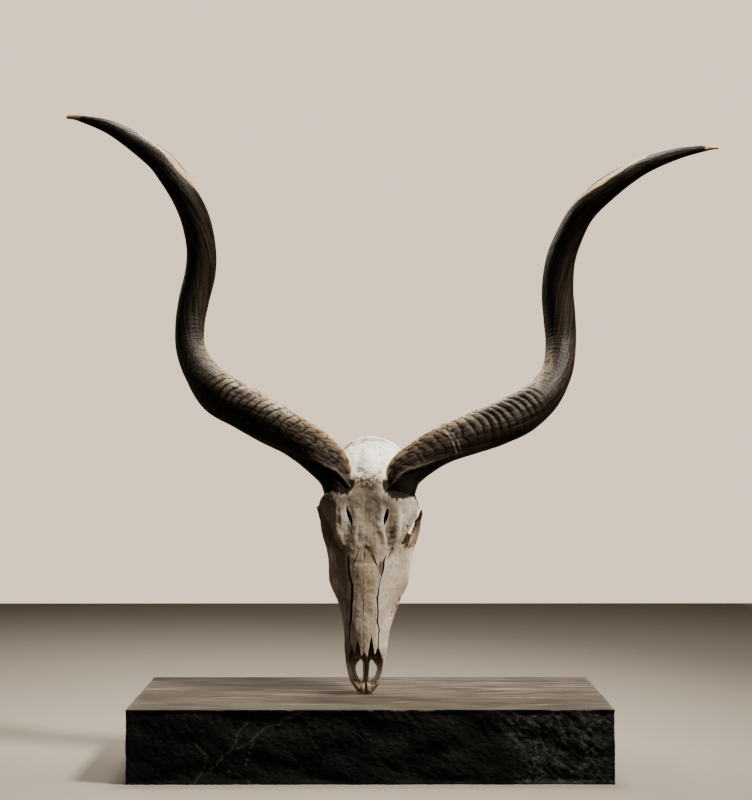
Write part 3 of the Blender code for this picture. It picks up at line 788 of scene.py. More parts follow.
def spread(mesh, values, rounds):
    """Averages rows of numbers over neighbouring points, again and again."""
    count = len(mesh.vertices)
    edges = np.empty(len(mesh.edges) * 2, dtype=np.int32)
    mesh.edges.foreach_get("vertices", edges)
    start, end = edges.reshape(-1, 2).T
    links = np.maximum(np.bincount(start, minlength=count) + np.bincount(end, minlength=count), 1)
    values = np.array(values, dtype=float).reshape(count, -1)
    for _ in range(rounds):
        columns = []
        for column in values.T:
            around = np.bincount(start, column[end], count) + np.bincount(end, column[start], count)
            columns.append(0.5 * column + 0.5 * around / links)
        values = np.stack(columns, axis=1)
    return values


def shelter(mesh, points, normals, reach):
    """How closed in each point is, from 0 to 1: the share of rays over its surface that meet the mesh."""
    tree = BVHTree.FromPolygons(points.tolist(), [face.vertices[:] for face in mesh.polygons])
    side = np.cross(normals, (0.31, 0.47, 0.83))
    side /= np.linalg.norm(side, axis=1)[:, None]
    other = np.cross(normals, side)
    hits = np.zeros(len(points))
    turns = [(0, 0)] + [(math.cos(angle), math.sin(angle)) for angle in (0.3, 1.9, 3.4, 5.0)]
    for across, up in turns:
        rays = (normals + 0.9 * (side * across + other * up)).tolist()
        starts = (points + normals * 0.8).tolist()
        for i, (start, ray) in enumerate(zip(starts, rays)):
            if tree.ray_cast(Vector(start), Vector(ray), reach)[0]:
                hits[i] += 1
    return spread(mesh, hits / len(turns), 3)[:, 0]


def ribbon(name, points, near, far, frame, material):
    """A thin upright blade along a line of x, z and width, for cutting a crack."""
    line = catmull_rom(points, 5)
    step = np.gradient(line[:, :2], axis=0)
    step /= np.linalg.norm(step, axis=1)[:, None]
    wobble = value_noise(np.stack([line[:, 1] / 2.6, line[:, 0], line[:, 1] * 0], axis=1), 5) * 0.35
    half = line[:, 2] / 2
    across = np.stack([step[:, 1], -step[:, 0]], axis=1)
    right = line[:, :2] + across * (half + wobble)[:, None]
    left = line[:, :2] - across * (half - wobble)[:, None]
    rings = []
    for (rx, rz), (lx, lz) in zip(right, left):
        rings.append([(lx, near, lz), (rx, near, rz), (rx, far, rz), (lx, far, lz)])
    bm = bmesh.new()
    add_rings(bm, rings)
    return new_object(name, bm, frame, material)


def near_line(x, z, start, end, width):
    """1 on the line from start to end, in the x, z plane, falling off across the width."""
    line = np.array(end) - start
    share = np.clip(((x - start[0]) * line[0] + (z - start[1]) * line[1]) / (line @ line), 0, 1)
    gone = np.hypot(x - start[0] - share * line[0], z - start[1] - share * line[1])
    return np.exp(-((gone / width) ** 2))


def near_spot(x, z, centre, width, height):
    """1 at a place in the x, z plane, falling off all round it."""
    return np.exp(-(((x - centre[0]) / width) ** 2) - ((z - centre[1]) / height) ** 2)


def upright(name, radius, bottom, top):
    """An upright rod where the pin stands, from one height to another."""
    bm = bmesh.new()
    centre = Vector((NOSE_TIP[0] + PIN_OFFSET, NOSE_TIP[1], (bottom + top) / 2)) * MM
    bmesh.ops.create_cone(
        bm,
        cap_ends=True,
        segments=32,
        radius1=radius * MM,
        radius2=radius * MM,
        depth=(top - bottom) * MM,
        matrix=Matrix.Translation(centre),
    )
    return new_object(name, bm)


def bone_relief(points, normals):
    """How far the surface of the bone stands out or in, in millimetres."""
    x, _, z = points.T
    front = ramp(-normals[:, 1], *FRONT)
    facing = ramp(-normals[:, 1], *FACING)
    lift = 0.60 * rough(points, 26, 1) + 0.34 * rough(points, 7.5, 2) + 0.16 * rough(points, 3.4, 3, 1)
    lift += 0.20 * rough(points, (3.0, 8, 34), 4, 2) * (z < 300)
    bowed = points + np.stack([x * 0, x * 0, 0.012 * (x - WRINKLES[0]) ** 2], axis=1)
    lift += near_spot(x, z, WRINKLES, 20, 9) * facing * (0.9 - 2.6 * np.abs(rough(bowed, (6, 12, 4.0), 6, 3)))
    brow = band(z, *BROW_HEIGHTS) * front
    shaken = x + 0.7 * rough(points, 12, 7, 2)
    lift += along_table(LEFT_BROW, shaken) * brow * (x < 0)
    lift += along_table(RIGHT_BROW, shaken - 0.16 * np.maximum(0, 264 - z)) * brow * (x > 0)
    for start, end, depth, width in GROOVES:
        lift -= depth * near_line(x, z, start, end, width) * front
    nasal = along_table(NASAL_HALF_WIDTHS, z)
    lift -= 0.8 * ramp(np.abs(x + 1.5), nasal + 0.8, nasal - 0.8) * ramp(z, 234, 230) * ramp(z, 200, 206) * front
    furrows = ramp(z, 40, 18) * 1.1 * np.abs(rough(points, (3.4, 12, 30), 8, 2))
    lift -= 1.6 * ramp(z, 18, 6) * np.abs(normals[:, 0]) + furrows
    pitted = 1.3 * near_spot(x, z, PITTED_BROW, 12, 18) + ramp(z, 330, 350) * 0.7 + 0.3
    lift -= 1.1 * pitted * np.maximum(0, value_noise(points / 3.4, 9) - 0.3)
    return lift


def build_skull(bone, marrow):
    bm = bmesh.new()
    add_rings(bm, face_rings())
    add_rings(bm, stacked_ovals(BRAINCASE_SECTIONS))
    add_bar(bm, SKULL_BASE)
    add_bar(bm, crest_arch())
    add_ellipsoid(bm, *FOREHEAD_RISE)
    for side in (-1, 1):
        for bar in RIGHT_BARS:
            add_bar(bm, [mirrored(row, side) for row in bar])
        add_bar(bm, [mirrored(row, side) for row in orbit_ring()], closed=True)
        for centre, sizes in (NOSE_LUMP, CONDYLE, EAR_BULB, EAR_TUBE, MASTOID):
            add_ellipsoid(bm, mirrored(centre, side), sizes)
    skull = new_object("skull_bone", bm, skull_frame, bone)
    fuse(skull, BONE_VOXEL, BONE_SMOOTHING)

    bm = bmesh.new()
    add_rings(bm, stacked_ovals(NOSE_CAVITY))
    for centre, sizes in (CHOANA, FORAMEN_MAGNUM):
        add_ellipsoid(bm, centre, sizes)
    for side in (-1, 1):
        add_ellipsoid(bm, mirrored(SOCKET_CENTRE, side), SOCKET_SIZE, ORBIT_TILT * side)
        for centre, sizes in (TEMPLE_HOLLOW, FACE_HOLE):
            add_ellipsoid(bm, mirrored(centre, side), sizes, segments=16)
    openings = new_object("openings", bm, skull_frame)
    fuse(openings, CUT_BONE_VOXEL, 0)
    subtract(skull, openings)
    fuse(skull, FINE_VOXEL, 2)
    bake_modifiers(skull)

    points, normals = read_points(skull.data)
    points += normals * bone_relief(points, normals)[:, None]
    skull.data.vertices.foreach_set("co", (points * MM).ravel())
    skull.data.update()

    cutters = []
    for number, (far, line) in enumerate((*CRACKS, *BROW_SLITS, SOCKET_MOUTH)):
        cutters.append(ribbon(f"crack_{number}", line, CUT_START, far, skull_frame, marrow))
    bm = bmesh.new()
    for outline in (NASAL_ENDS, TIP_NOTCH):
        add_rings(bm, [[(x, y, z) for x, z in outline] for y in END_DEPTHS])
    cutters.append(new_object("nasal_ends", bm, skull_frame, marrow))
    for number, (x, y, z, radius) in enumerate(PORES):
        bm = bmesh.new()
        add_ellipsoid(bm, (x, y, z), (radius, PORE_DEPTH, radius), segments=12)
        cutters.append(new_object(f"pore_{number}", bm, skull_frame, marrow))
    bore = upright("skull_bore", PIN_RADIUS + GAP, SLAB_SIZE[2] - 10, NOSE_TIP[2] + PIN_IN_SKULL + GAP)
    bore.data.materials.append(marrow)
    cutters.append(bore)
    for cutter in cutters:
        subtract(skull, cutter)
        skull.modifiers[-1].material_mode = "TRANSFER"
        skull.modifiers[-1].solver = "MANIFOLD"
    bake_modifiers(skull)
    for cutter in (openings, *cutters):
        bpy.data.objects.remove(cutter)

    skull.data.shade_smooth()
    skull.data.set_sharp_from_angle(angle=math.radians(50))
    set_attributes(skull.data, bone_masks(skull.data))
    finish_piece(skull, "bone", "skull")


def bone_masks(mesh):
    """How much darker in its hollows, whiter, stained or smoked the bone is at each point, and where light and shade
    are painted on it.
    """
    points, normals = read_points(mesh)
    x, y, z = points.T
    front = ramp(-normals[:, 1], *FRONT)
    facing = ramp(-normals[:, 1], *FACING)
    hollow = np.sum((spread(mesh, points, 14) - points) * normals, axis=1)
    creased = ramp(hollow, 0.02, 0.55)
    for start, end, width in MARKS:
        creased = np.maximum(creased, ramp(near_line(x, z, start, end, width), 0.25, 0.6) * facing)

    socket = band(x, 56, 60, 80, 88) * ramp(y, 6, 11) * band(z, 226, 234, 280, 288)
    # Painted light: the lower wall of the right eye socket, which the lamp reaches, is painted tan and its painted
    # shade is lifted.
    lit_socket = socket * ramp(z, 262, 252)
    far_left = ramp(x, -72, -76) * band(z, 258, 266, 284, 292)
    in_nose = ramp(np.abs(x), 24, 19) * band(z, 44, 52, 72, 80) * ramp(y, -14, -9)
    # Painted shade: closed-in places, the upper right eye socket, the edge of the left socket and the inside of the
    # nose are painted dark.
    closed_in = ramp(shelter(mesh, points, normals, 55), 0.25, 0.95) * (1 - 0.95 * lit_socket)
    closed_in = np.maximum(closed_in, 0.92 * socket * ramp(z, 246, 260))

    # Smoke and painted shadow: the smoky patch and the dark line of the left cheek, with the shadow of the horns
    # painted on the bone under their bases.
    smoke_and_shadow = (near_spot(x, z, SMOKE_AND_SHADOW, 24, 17) + 0.9 * near_line(x, z, *SMOKE_AND_SHADE_CHEEK, 11)) * front
    smoke_and_shadow += ramp(np.abs(x), 20, 30) * band(z, 286, 304, 330, 345) * ramp(y, 30, 10)
    # Painted shade: the middle of the forehead under the horns, the left side of the face, the left nasal bone and a
    # trough of the right brow.
    painted_shade = ramp(np.abs(x + 2), 30, 20) * band(z, 262, 284, 322, 336) * front
    shady = along_table(SHADE_EDGE, z) + 2 * rough(points, 12, 28, 2)
    shade = ramp(x, shady + 2, shady - 7) * band(z, 20, 60, 300, 330)
    painted_shade += shade * (1 + 0.35 * ramp(z, 175, 120)) * facing
    painted_shade += 0.45 * band(x, -24, -20, -8, -1) * band(z, 62, 74, 205, 232) * facing
    painted_shade += 0.55 * near_line(x, z, *PAINTED_SHADE_BROW, 10) * front

    sheath_edge = along_table(SHEATH_EDGE, x) + 4 * rough(points, (2.5, 8, 12), 27, 2)
    # The dark remains of the horn sheaths, together with painted shadow under the horns.
    sheath_remains_and_shadow = ramp(z, sheath_edge - 0.8, sheath_edge + 0.8) * ramp(z, 337, 331) * ramp(y, 52, 42)
    bony = 0.9 * band(z, 316, 326, 336, 350) + 0.35 * ramp(z, 336, 350)
    wrinkled = near_spot(x, z, (WRINKLES[0], WRINKLES[1] - 2), 22, 11)
    rust = np.hypot((x - RUST[0]) / 4.5, (z - RUST[1]) / 11) + 0.25 * rough(points, 5, 24)
    stain = near_spot(x, z, STAIN, 15, 38) + 0.6 * band(z, 150, 215, 236, 262) * ramp(np.abs(x), 26, 12)
    return {
        "creased": creased,
        "worn": ramp(-hollow, 0.1, 0.8),
        "painted_hollow_shade": np.maximum(closed_in, np.maximum(far_left, 0.8 * in_nose)),
        # Painted light in the right eye socket, and painted shade on the tip of the nose.
        "painted_socket_light_and_tip_shade": np.maximum(lit_socket, 0.9 * ramp(z, 32, 14) * ramp(y, 14, -4)),
        # The top of the braincase: paler bone and painted light from above.
        "whiter_top_and_light": ramp(z + 9 * rough(points, 18, 21), 318, 346),
        "smoke_and_painted_shadow": unit(smoke_and_shadow * (0.8 + 0.5 * rough(points, 9, 22))),
        "sheath_remains_and_shadow": sheath_remains_and_shadow,
        "painted_shade": unit(painted_shade * (0.85 + 0.5 * rough(points, 11, 26))),
        "pitted": unit(near_spot(x, z, PITTED_BROW, 12, 20) * front + bony * facing),
        "wrinkled": unit(wrinkled * (1.5 + 1.4 * rough(points, 5, 23))) * facing,
        "rusty": ramp(rust, 1.15, 0.6) * front,
        "stained": unit(stain * (0.75 + 0.6 * rough(points, 14, 25))) * front,
    }


def sector(degrees, middle, width):
    """1 in the middle of a sector round a horn, falling off across its width."""
    away = (degrees - middle + 180) % 360 - 180
    return np.exp(-((away / width) ** 2))


def keel_line(turns, width):
    return np.exp(-((np.sin(turns / 2) / width) ** 2))


def horn_relief(share, place, degrees, turns, straight, side):
    """How far a horn's surface stands out or in, in millimetres, its fibres and lumps, and masks for its colours, with
    painted shade in the furrows and painted highlights on the crests and upper edges.
    """
    flat = straight.reshape(-1, 3)

    def noise_on(scale, seed, octaves=3):
        return rough(flat, scale, seed + side, octaves).reshape(share.shape)

    lift = KEEL_FINENESS * along_table(KEEL_HEIGHTS, share) * (keel_line(turns, KEEL_WIDTH) - KEEL_SHARE)
    near_base = ramp(share, 0.2, 0.06)
    uneven = 0.34 * noise_on((50, 50, 40), 50, 2) + (0.12 + 0.5 * near_base) * noise_on((13, 13, 13), 51, 2)
    fold = np.abs(np.sin(math.pi * (place / FOLD_SPACING + uneven))) ** FOLD_SHARPNESS - 0.58
    ribbed = sector(degrees, 297, 62) * np.clip(0.95 + 0.7 * noise_on((16, 16, 20), 52, 2), 0.15, 1.6)
    fold_height = along_table(FOLD_HEIGHTS, share) * ribbed
    lift += fold_height * fold * FOLD_STRENGTH[side]

    fibres = noise_on((2.2, 2.2, 40), 53)
    lumps = noise_on((6, 6, 8), 54)
    cracks = unit(1 - np.abs(noise_on((4.0, 4.0, 11), 55, 2)) / 0.2)
    bark = sector(degrees, 322, 48) * band(share, 0.0, 0.01, 0.12, 0.19)
    fringe = sector(degrees, 276, 30) * ramp(share, 0.22, 0.1)
    ragged = np.maximum(bark, fringe)
    lift += ragged * (0.8 * lumps - 1.1 * cracks + 0.4 * fibres)
    lift += 0.12 * noise_on((2.2, 2.2, 90), 56, 2) + 0.22 * ramp(share, 0.34, 0.26) * fibres
    lift += 0.35 * sector(degrees, 290, 60) * ramp(share, 0.36, 0.3) * noise_on((5, 5, 7), 58, 2)
    ripples = band(share, 0.3, 0.36, 0.45, 0.62) * sector(degrees, 300, 60)
    lift += 0.24 * ripples * np.sin(place / 1.2 + 3 * noise_on((30, 30, 20), 57, 2))

    drop = (degrees + 90) % 360
    scars = np.zeros(share.shape)
    for first, last in SCARS[side]:
        spot = place + FOLD_SLANT * np.cos(np.radians(degrees)) - first - (last - first) * drop / 145
        scar = np.exp(-((spot / 0.8) ** 2)) * band(drop, 25, 40, 125, 150)
        scars = np.maximum(scars, scar * unit(0.7 + lumps))
    lift -= 0.5 * scars
    under = band(turns, 0.04, 0.2, 2.8, 3.6) * ramp(share, 0.3, 0.12)
    masks = {
        "under": under,
        "scars": scars,
        "bark": bark * unit(0.85 + 0.5 * lumps) * (1 - under),
        "cracks": cracks * unit(1.4 * ragged),
        # Lighter crests of the folds: worn keratin and a painted highlight.
        "crest_and_highlight": unit(fold * 2.4) * unit(fold_height / 2.2) * unit(0.7 + 0.7 * lumps),
        # Painted shade in the furrows between the folds.
        "painted_crease_shade": unit((0.06 - fold) * 3) * unit(fold_height / 0.6) * (1 - 0.2 * near_base),
        "fringe": fringe * unit(0.75 + 0.6 * fibres),
    }
    return lift, fibres, lumps, masks


def build_horn(name, node, rows, side, material):
    line = catmull_rom(rows, 16)
    centres, widths = line[:, :3], line[:, 3]
    lengths = np.concatenate([[0], np.cumsum(np.linalg.norm(np.diff(centres, axis=0), axis=1))])
    total = lengths[-1]
    tangents = np.gradient(centres, axis=0)

    share, turns = np.meshgrid(
        np.linspace(0, 1, HORN_RINGS), 2 * math.pi * np.arange(HORN_RING_SIDES) / HORN_RING_SIDES, indexing="ij"
    )
    angle = np.radians(along_table(KEEL_ANGLES, share)) + turns
    degrees = np.degrees(angle) % 360
    level = share * total

    half = np.interp(level, lengths, widths) / 2
    round_end = unit((total - level) / 3)
    half = (half - SHRINK) * np.sqrt(round_end * (2 - round_end) + 0.04)
    straight = np.stack([half * np.cos(turns), half * np.sin(turns), level], axis=-1)
    lift, fibres, lumps, masks = horn_relief(share, level, degrees, turns, straight, side)
    lift *= unit(half / 10)

    inner = unit(np.cos(np.radians(degrees - FOLD_SIDE)))
    slant = FOLD_SLANT * along_table(FOLD_SLANTS, share)
    place = level + slant * np.cos(angle) + ramp(share, 0.03, 0.0) * (2.0 + 2.6 * fibres - 9 * inner)
    centre, along = (
        np.stack([np.interp(place, lengths, values[:, axis]) for axis in range(3)], axis=-1)
        for values in (centres, tangents)
    )
    along /= np.linalg.norm(along, axis=-1)[..., None]
    front = np.array((0, -1, 0)) + along * along[..., 1:2]
    front /= np.linalg.norm(front, axis=-1)[..., None]
    outer = np.cross(along, front) * side
    x = (half + lift) * np.sin(angle)
    y = (half * HORN_DEPTH_RATIO + lift) * np.cos(angle)
    points = centre + outer * x[..., None] + front * y[..., None]
    points += along * np.minimum(place, 0)[..., None]
    horn = grid_object(name, points[:, ::side], material)

    edge = along_table(CREAM_EDGE, share) + 5 * fibres
    back = edge - along_table(CREAM_WIDTH, share) + 6 * lumps
    cream = ramp(degrees, edge + 2, edge - 4) * ramp(degrees, back - 4, back + 40)
    patchy = unit(0.75 + 0.9 * lumps)
    tip_start = total - TIP_LENGTH
    tip = ramp(level + 3.5 * fibres, tip_start, tip_start + 3)
    masks |= {
        # Pale lumps along the upper edge, with a painted highlight on them.
        "pale_lumps_and_highlight": sector(degrees, 283 - 4 * side, 25 - 3 * side) * band(share, 0.1, 0.17, 0.3, 0.34) * patchy,
        # Painted highlight along the upper inner edge of the bend.
        "tan": sector(degrees, 282, 32) * band(share, 0.28, 0.33, 0.4, 0.48) * patchy * (0.8 + 0.2 * side),
        "cream": cream * (share > CREAM_WIDTH[0][0]) * (share < CREAM_WIDTH[-1][0]),
        "tip": tip,
        "amber": tip * ramp(level, total - 9, tip_start) * AMBER_STRENGTH[side],
        "keel_line": keel_line(turns, 0.03) * ramp(share, 0.22, 0.12),
        "sunlit": sector(degrees, 282, 42) * band(share, 0.29, 0.33, 0.45, 0.6),
    }
    set_attributes(horn.data, {key: values[:, ::side].ravel() for key, values in masks.items()})
    set_attributes(horn.data, {"straight": straight[:, ::side].reshape(-1, 3)})
    finish_piece(horn, "horn", node)


def tooth_relief(u, v):
    """Height of a grinding face, u along the row and v across it: two lobes, each with a crescent-shaped pit."""
    lobe = np.abs(np.abs(u) - 0.48)
    pit = np.exp(-((lobe / 0.2) ** 2) - ((v - 0.05 - 0.35 * lobe) / 0.16) ** 2)
    cusps = 0.55 * np.cos(math.pi * 2.08 * (np.abs(u) - 0.48)) + 0.9 * np.abs(v + 0.08) ** 0.8
    return 1.3 * cusps - 2.6 * pit


def build_teeth(material):
    start, end = (Vector(point) for point in TOOTH_ROW)
    along = (end - start).normalized()
    down = Vector((0, along.z, -along.y))
    total = sum(length for length, _ in TEETH) + TOOTH_GAP * (len(TEETH) - 1)
    levels = catmull_rom(TOOTH_PROFILE, 3)
    angle = 2 * math.pi * np.arange(TOOTH_DETAIL) / TOOTH_DETAIL
    waist = 1 - TOOTH_WAIST * 1.6 * np.exp(-((np.cos(angle) / 0.24) ** 2))
    u = np.clip(1.12 * np.cos(angle), -0.94, 0.94)
    v = waist * np.sin(angle)
    outline = [np.stack([u * scale, v * scale, 0 * u + height], axis=1) for height, scale in levels]
    for scale in np.linspace(0.97, 0.03, 16):
        cap = TOOTH_CROWN - 1.6 + tooth_relief(u * scale, v * scale) * ramp(scale, 1.15, 0.8)
        outline.append(np.stack([u * scale * 0.87, v * scale * 0.87, cap], axis=1))
    for side, word in ((-1, "left"), (1, "right")):
        place = 0
        for number, (length, width) in enumerate(TEETH, start=1):
            share = (place + length / 2) / total
            bow = TOOTH_ROW_BOW * math.sin(math.pi * share)
            middle = start.lerp(end, share) + Vector((bow, 0, 0))
            place += length + TOOTH_GAP
            rings = np.array(outline)
            flat = rings.reshape(-1, 3)
            flat[:, :2] *= 1 + 0.02 * rough(flat * (8, 8, 0.4) + number * 9, 3, 31)[:, None]
            offset = (
                0.5 * length * rings[..., :1] * np.array(along)
                + 0.5 * width * rings[..., 1:2] * np.array((1, 0, 0))
                + rings[..., 2:] * np.array(down)
            )
            points = (np.array(middle) + offset) * (side, 1, 1)
            tooth = grid_object(f"tooth_{word}_{number}_enamel", points[:, ::side], material)
            pit = unit(-tooth_relief(rings[..., 0], rings[..., 1]) * 0.5) * (rings[..., 2] > TOOTH_CROWN - 4)
            masks = {"pit": pit, "gum": ramp(rings[..., 2], 3.5, 0.5)}
            set_attributes(tooth.data, {key: values[:, ::side].ravel() for key, values in masks.items()})
            tooth.parent = skull_frame
            finish_piece(tooth, "tooth", f"tooth_{word}_{number}")


def vein_mask(points, x, z):
    """1 on the grey veins of the slab's front face."""
    veins = np.zeros(len(points))
    wander = 1.6 * rough(points, 16, 61, 2)
    for line in VEINS:
        for start, end in zip(line, line[1:]):
            veins = np.maximum(veins, near_line(x + wander, z + wander, start, end, 1.5))
    return veins


def build_slab(material):
    """The stone: a flat top and underside, and sides left rough where it was split."""
    half_x, half_y, top = SLAB_SIZE[0] / 2, SLAB_SIZE[1] / 2, SLAB_SIZE[2]
    counts = []
    outline = []
    for start, end, inward in (
        ((-half_x, -half_y), (half_x, -half_y), (0, 1)),
        ((half_x, -half_y), (half_x, half_y), (-1, 0)),
        ((half_x, half_y), (-half_x, half_y), (0, -1)),
        ((-half_x, half_y), (-half_x, -half_y), (1, 0)),
    ):
        count = round(math.dist(start, end) / SLAB_CELL)
        places = np.linspace(start, end, count, endpoint=False)
        outline.append(np.column_stack([places, np.tile(inward, (count, 1))]))
        counts.append(count)
    outline = np.concatenate(outline)
    levels = np.concatenate([[0, 0.6, 1.2], np.linspace(2, top - 2, 62), [top - 1.3, top - 0.7, top - 0.25, top]])
    z = np.repeat(levels[:, None], len(outline), axis=1)
    x, y, inward_x, inward_y = (np.repeat(column[None], len(levels), axis=0) for column in outline.T)
    flat = np.stack([x, y, z], axis=-1).reshape(-1, 3)

    riven = [noise.noise(Vector((px + 40, py, 2.2 * pz)) / CLEFT_SPACING) for px, py, pz in flat]
    fall = CLEFT_DEPTH * unit(0.4 + 1.3 * np.array(riven))
    patch = ramp(flat[:, 0] + 14 * rough(flat, 40, 68, 2), 185, 225)
    patch *= ramp(flat[:, 1] + 30 * rough(flat, 30, 69, 2), -70, -130)
    run = flat[:, 0] + flat[:, 1]
    tilted = (0.8 * run - 0.6 * flat[:, 2], 0.6 * run + 0.8 * flat[:, 2], flat[:, 0] - flat[:, 1])
    slanted = np.stack(tilted, axis=1)
    steps = rough(slanted, (40, 16, 40), 62, 2)
    flakes = np.abs(rough(slanted, (13, 5, 13), 63))
    fall += 0.8 * np.floor(steps * 3) / 3 + 1.3 * flakes + 0.35 * rough(flat, 4.5, 64, 2)
    fall += patch * (0.6 + 1.5 * np.abs(rough(slanted, (22, 6, 22), 65, 2)))
    veins = vein_mask(flat, flat[:, 0], flat[:, 2]) * (flat[:, 1] < 1 - half_y)
    fall = np.clip(fall - 0.3 * veins, 0.0, CLEFT_DEPTH + 1.5).reshape(z.shape)
    edge = np.minimum(z, top - z)
    corner = (half_x - np.abs(x)) + (half_y - np.abs(y))
    fall *= (0.25 + 0.75 * ramp(corner, 2, 26)) * (0.4 + 0.6 * ramp(edge, 1, 8))
    nicks = ramp(rough(flat, (16, 16, 60), 66, 2), 0.25, 0.75).reshape(z.shape)
    bevel = 0.6 + 1.5 * nicks
    fall = fall + bevel * unit(1 - edge / bevel) ** 1.6

    shift = np.zeros(fall.shape)
    start = 0
    for count in counts:
        end = start + count
        gone = SLAB_CELL * np.arange(count)
        first, last = fall[:, start, None], fall[:, end % len(outline), None]
        shift[:, start:end] = first * unit(1 - gone / CORNER_REACH)
        shift[:, start:end] -= last * unit(1 - (SLAB_CELL * count - gone) / CORNER_REACH)
        start = end
    x = np.clip(x + inward_x * fall + inward_y * shift, -half_x + 0.2, half_x - 0.2)
    y = np.clip(y + inward_y * fall - inward_x * shift, -half_y + 0.2, half_y - 0.2)
    sides = np.stack([x, y, z], axis=-1)

    hole = np.array((NOSE_TIP[0] + PIN_OFFSET, NOSE_TIP[1]))
    away = outline[:, :2] - hole
    rim = hole + away / np.linalg.norm(away, axis=1)[:, None] * (PIN_RADIUS + GAP)
    inside = []
    for share in np.linspace(0.02, 1, 24):
        inside.append(np.column_stack([sides[-1, :, :2] * (1 - share) + rim * share, sides[-1, :, 2]]))
    inside += [np.column_stack([rim, 0 * rim[:, 0] + top - depth]) for depth in (1, PIN_IN_STONE)]
    slab = grid_object("slab_stone", np.concatenate([sides, inside]), material)

    masks = {
        "veined": veins,
        "rough_patch": patch * unit(0.7 + rough(flat, 12, 67, 2)),
        # Chips along the edges, and a painted highlight all along the top edge.
        "chips_and_edge_highlight": np.maximum(nicks * ramp(edge, 3, 1), 0.8 * ramp(top - z, 1.4, 0.5)).ravel(),
    }
    rest = len(inside) * len(outline)
    set_attributes(slab.data, {key: np.pad(values, (0, rest)) for key, values in masks.items()})
    slab.data.set_sharp_from_angle(angle=math.radians(35))
    for face in slab.data.polygons:
        face.use_smooth = abs(face.normal.z) < 0.99
    finish_piece(slab, "stone", "slab")


class Surface:
    """A material whose colour is laid on in coats, with short ways to add its nodes."""

    def __init__(self, name):
        self.material = bpy.data.materials.new(name)
        self.material.use_nodes = True
        self.nodes = self.material.node_tree.nodes
        self.shader = self.nodes["Principled BSDF"]
        self.colour = None

    def add(self, kind, inputs, output=0, **settings):
        node = self.nodes.new(kind)
        for name, value in settings.items():
            setattr(node, name, value)
        for name, value in inputs.items():
            self.put(node.inputs[name], value)
        return node.outputs[output]

    def put(self, socket, value):
        if isinstance(value, bpy.types.NodeSocket):
            self.material.node_tree.links.new(value, socket)
        elif isinstance(value, tuple) and len(value) == 3 and socket.type == "RGBA":
            socket.default_value = (*value, 1)
        else:
            socket.default_value = value

    def place(self, *stretch):
        """The place on the object in metres, stretched."""
        spot = self.add("ShaderNodeTexCoord", {}, 3)
        return self.add("ShaderNodeMapping", {"Vector": spot, "Scale": stretch}) if stretch else spot

    def mask(self, name, output=2):
        return self.add("ShaderNodeAttribute", {}, output, attribute_name=name)

    def along_horn(self, stretch):
        """The place on a horn laid out straight, in millimetres, stretched along it."""
        return self.add("ShaderNodeMapping", {"Vector": self.mask("straight", 1), "Scale": (1, 1, stretch)})

    def noise(self, spot, scale, detail=3.0, roughness=0.55, distortion=0.0):
        inputs = {"Vector": spot, "Scale": scale, "Detail": detail, "Roughness": roughness, "Distortion": distortion}
        return self.add("ShaderNodeTexNoise", inputs)

    def ramp(self, value, low, high, floor=0.0, roof=1.0):
        inputs = {"Value": value, "From Min": low, "From Max": high, "To Min": floor, "To Max": roof}
        return self.add("ShaderNodeMapRange", inputs)

    def math(self, operation, first, second, clamp=False):
        return self.add("ShaderNodeMath", {0: first, 1: second}, operation=operation, use_clamp=clamp)

    def plus(self, first, second, clamp=False):
        return self.math("ADD", first, second, clamp)

    def times(self, first, second, clamp=False):
        return self.math("MULTIPLY", first, second, clamp)

    def share(self, value):
        """A socket or number as it is, and a tuple as the value and the numbers of a ramp."""
        return self.ramp(*value) if isinstance(value, tuple) else value

    def mix(self, first, second, share):
        """A colour between two others."""
        return self.add("ShaderNodeMix", {0: self.share(share), 6: first, 7: second}, 2, data_type="RGBA")

    def coats(self, *rows):
        """Lays coats over the colour: each a tint, the name of its mask or None, and its share."""
        for tint, name, share in rows:
            if name:
                share = self.times(self.mask(name), self.share(share), True)
            self.colour = self.mix(self.colour, tint, share)

    def bump(self, height, distance, strength):
        return self.add("ShaderNodeBump", {"Height": height, "Distance": distance, "Strength": strength})

    def finish(self, **settings):
        """Sets the shader's inputs by name, with _ for a space."""
        for name, value in ({"Base_Color": self.colour} | settings).items():
            self.put(self.shader.inputs[name.replace("_", " ")], value)
        return self.material


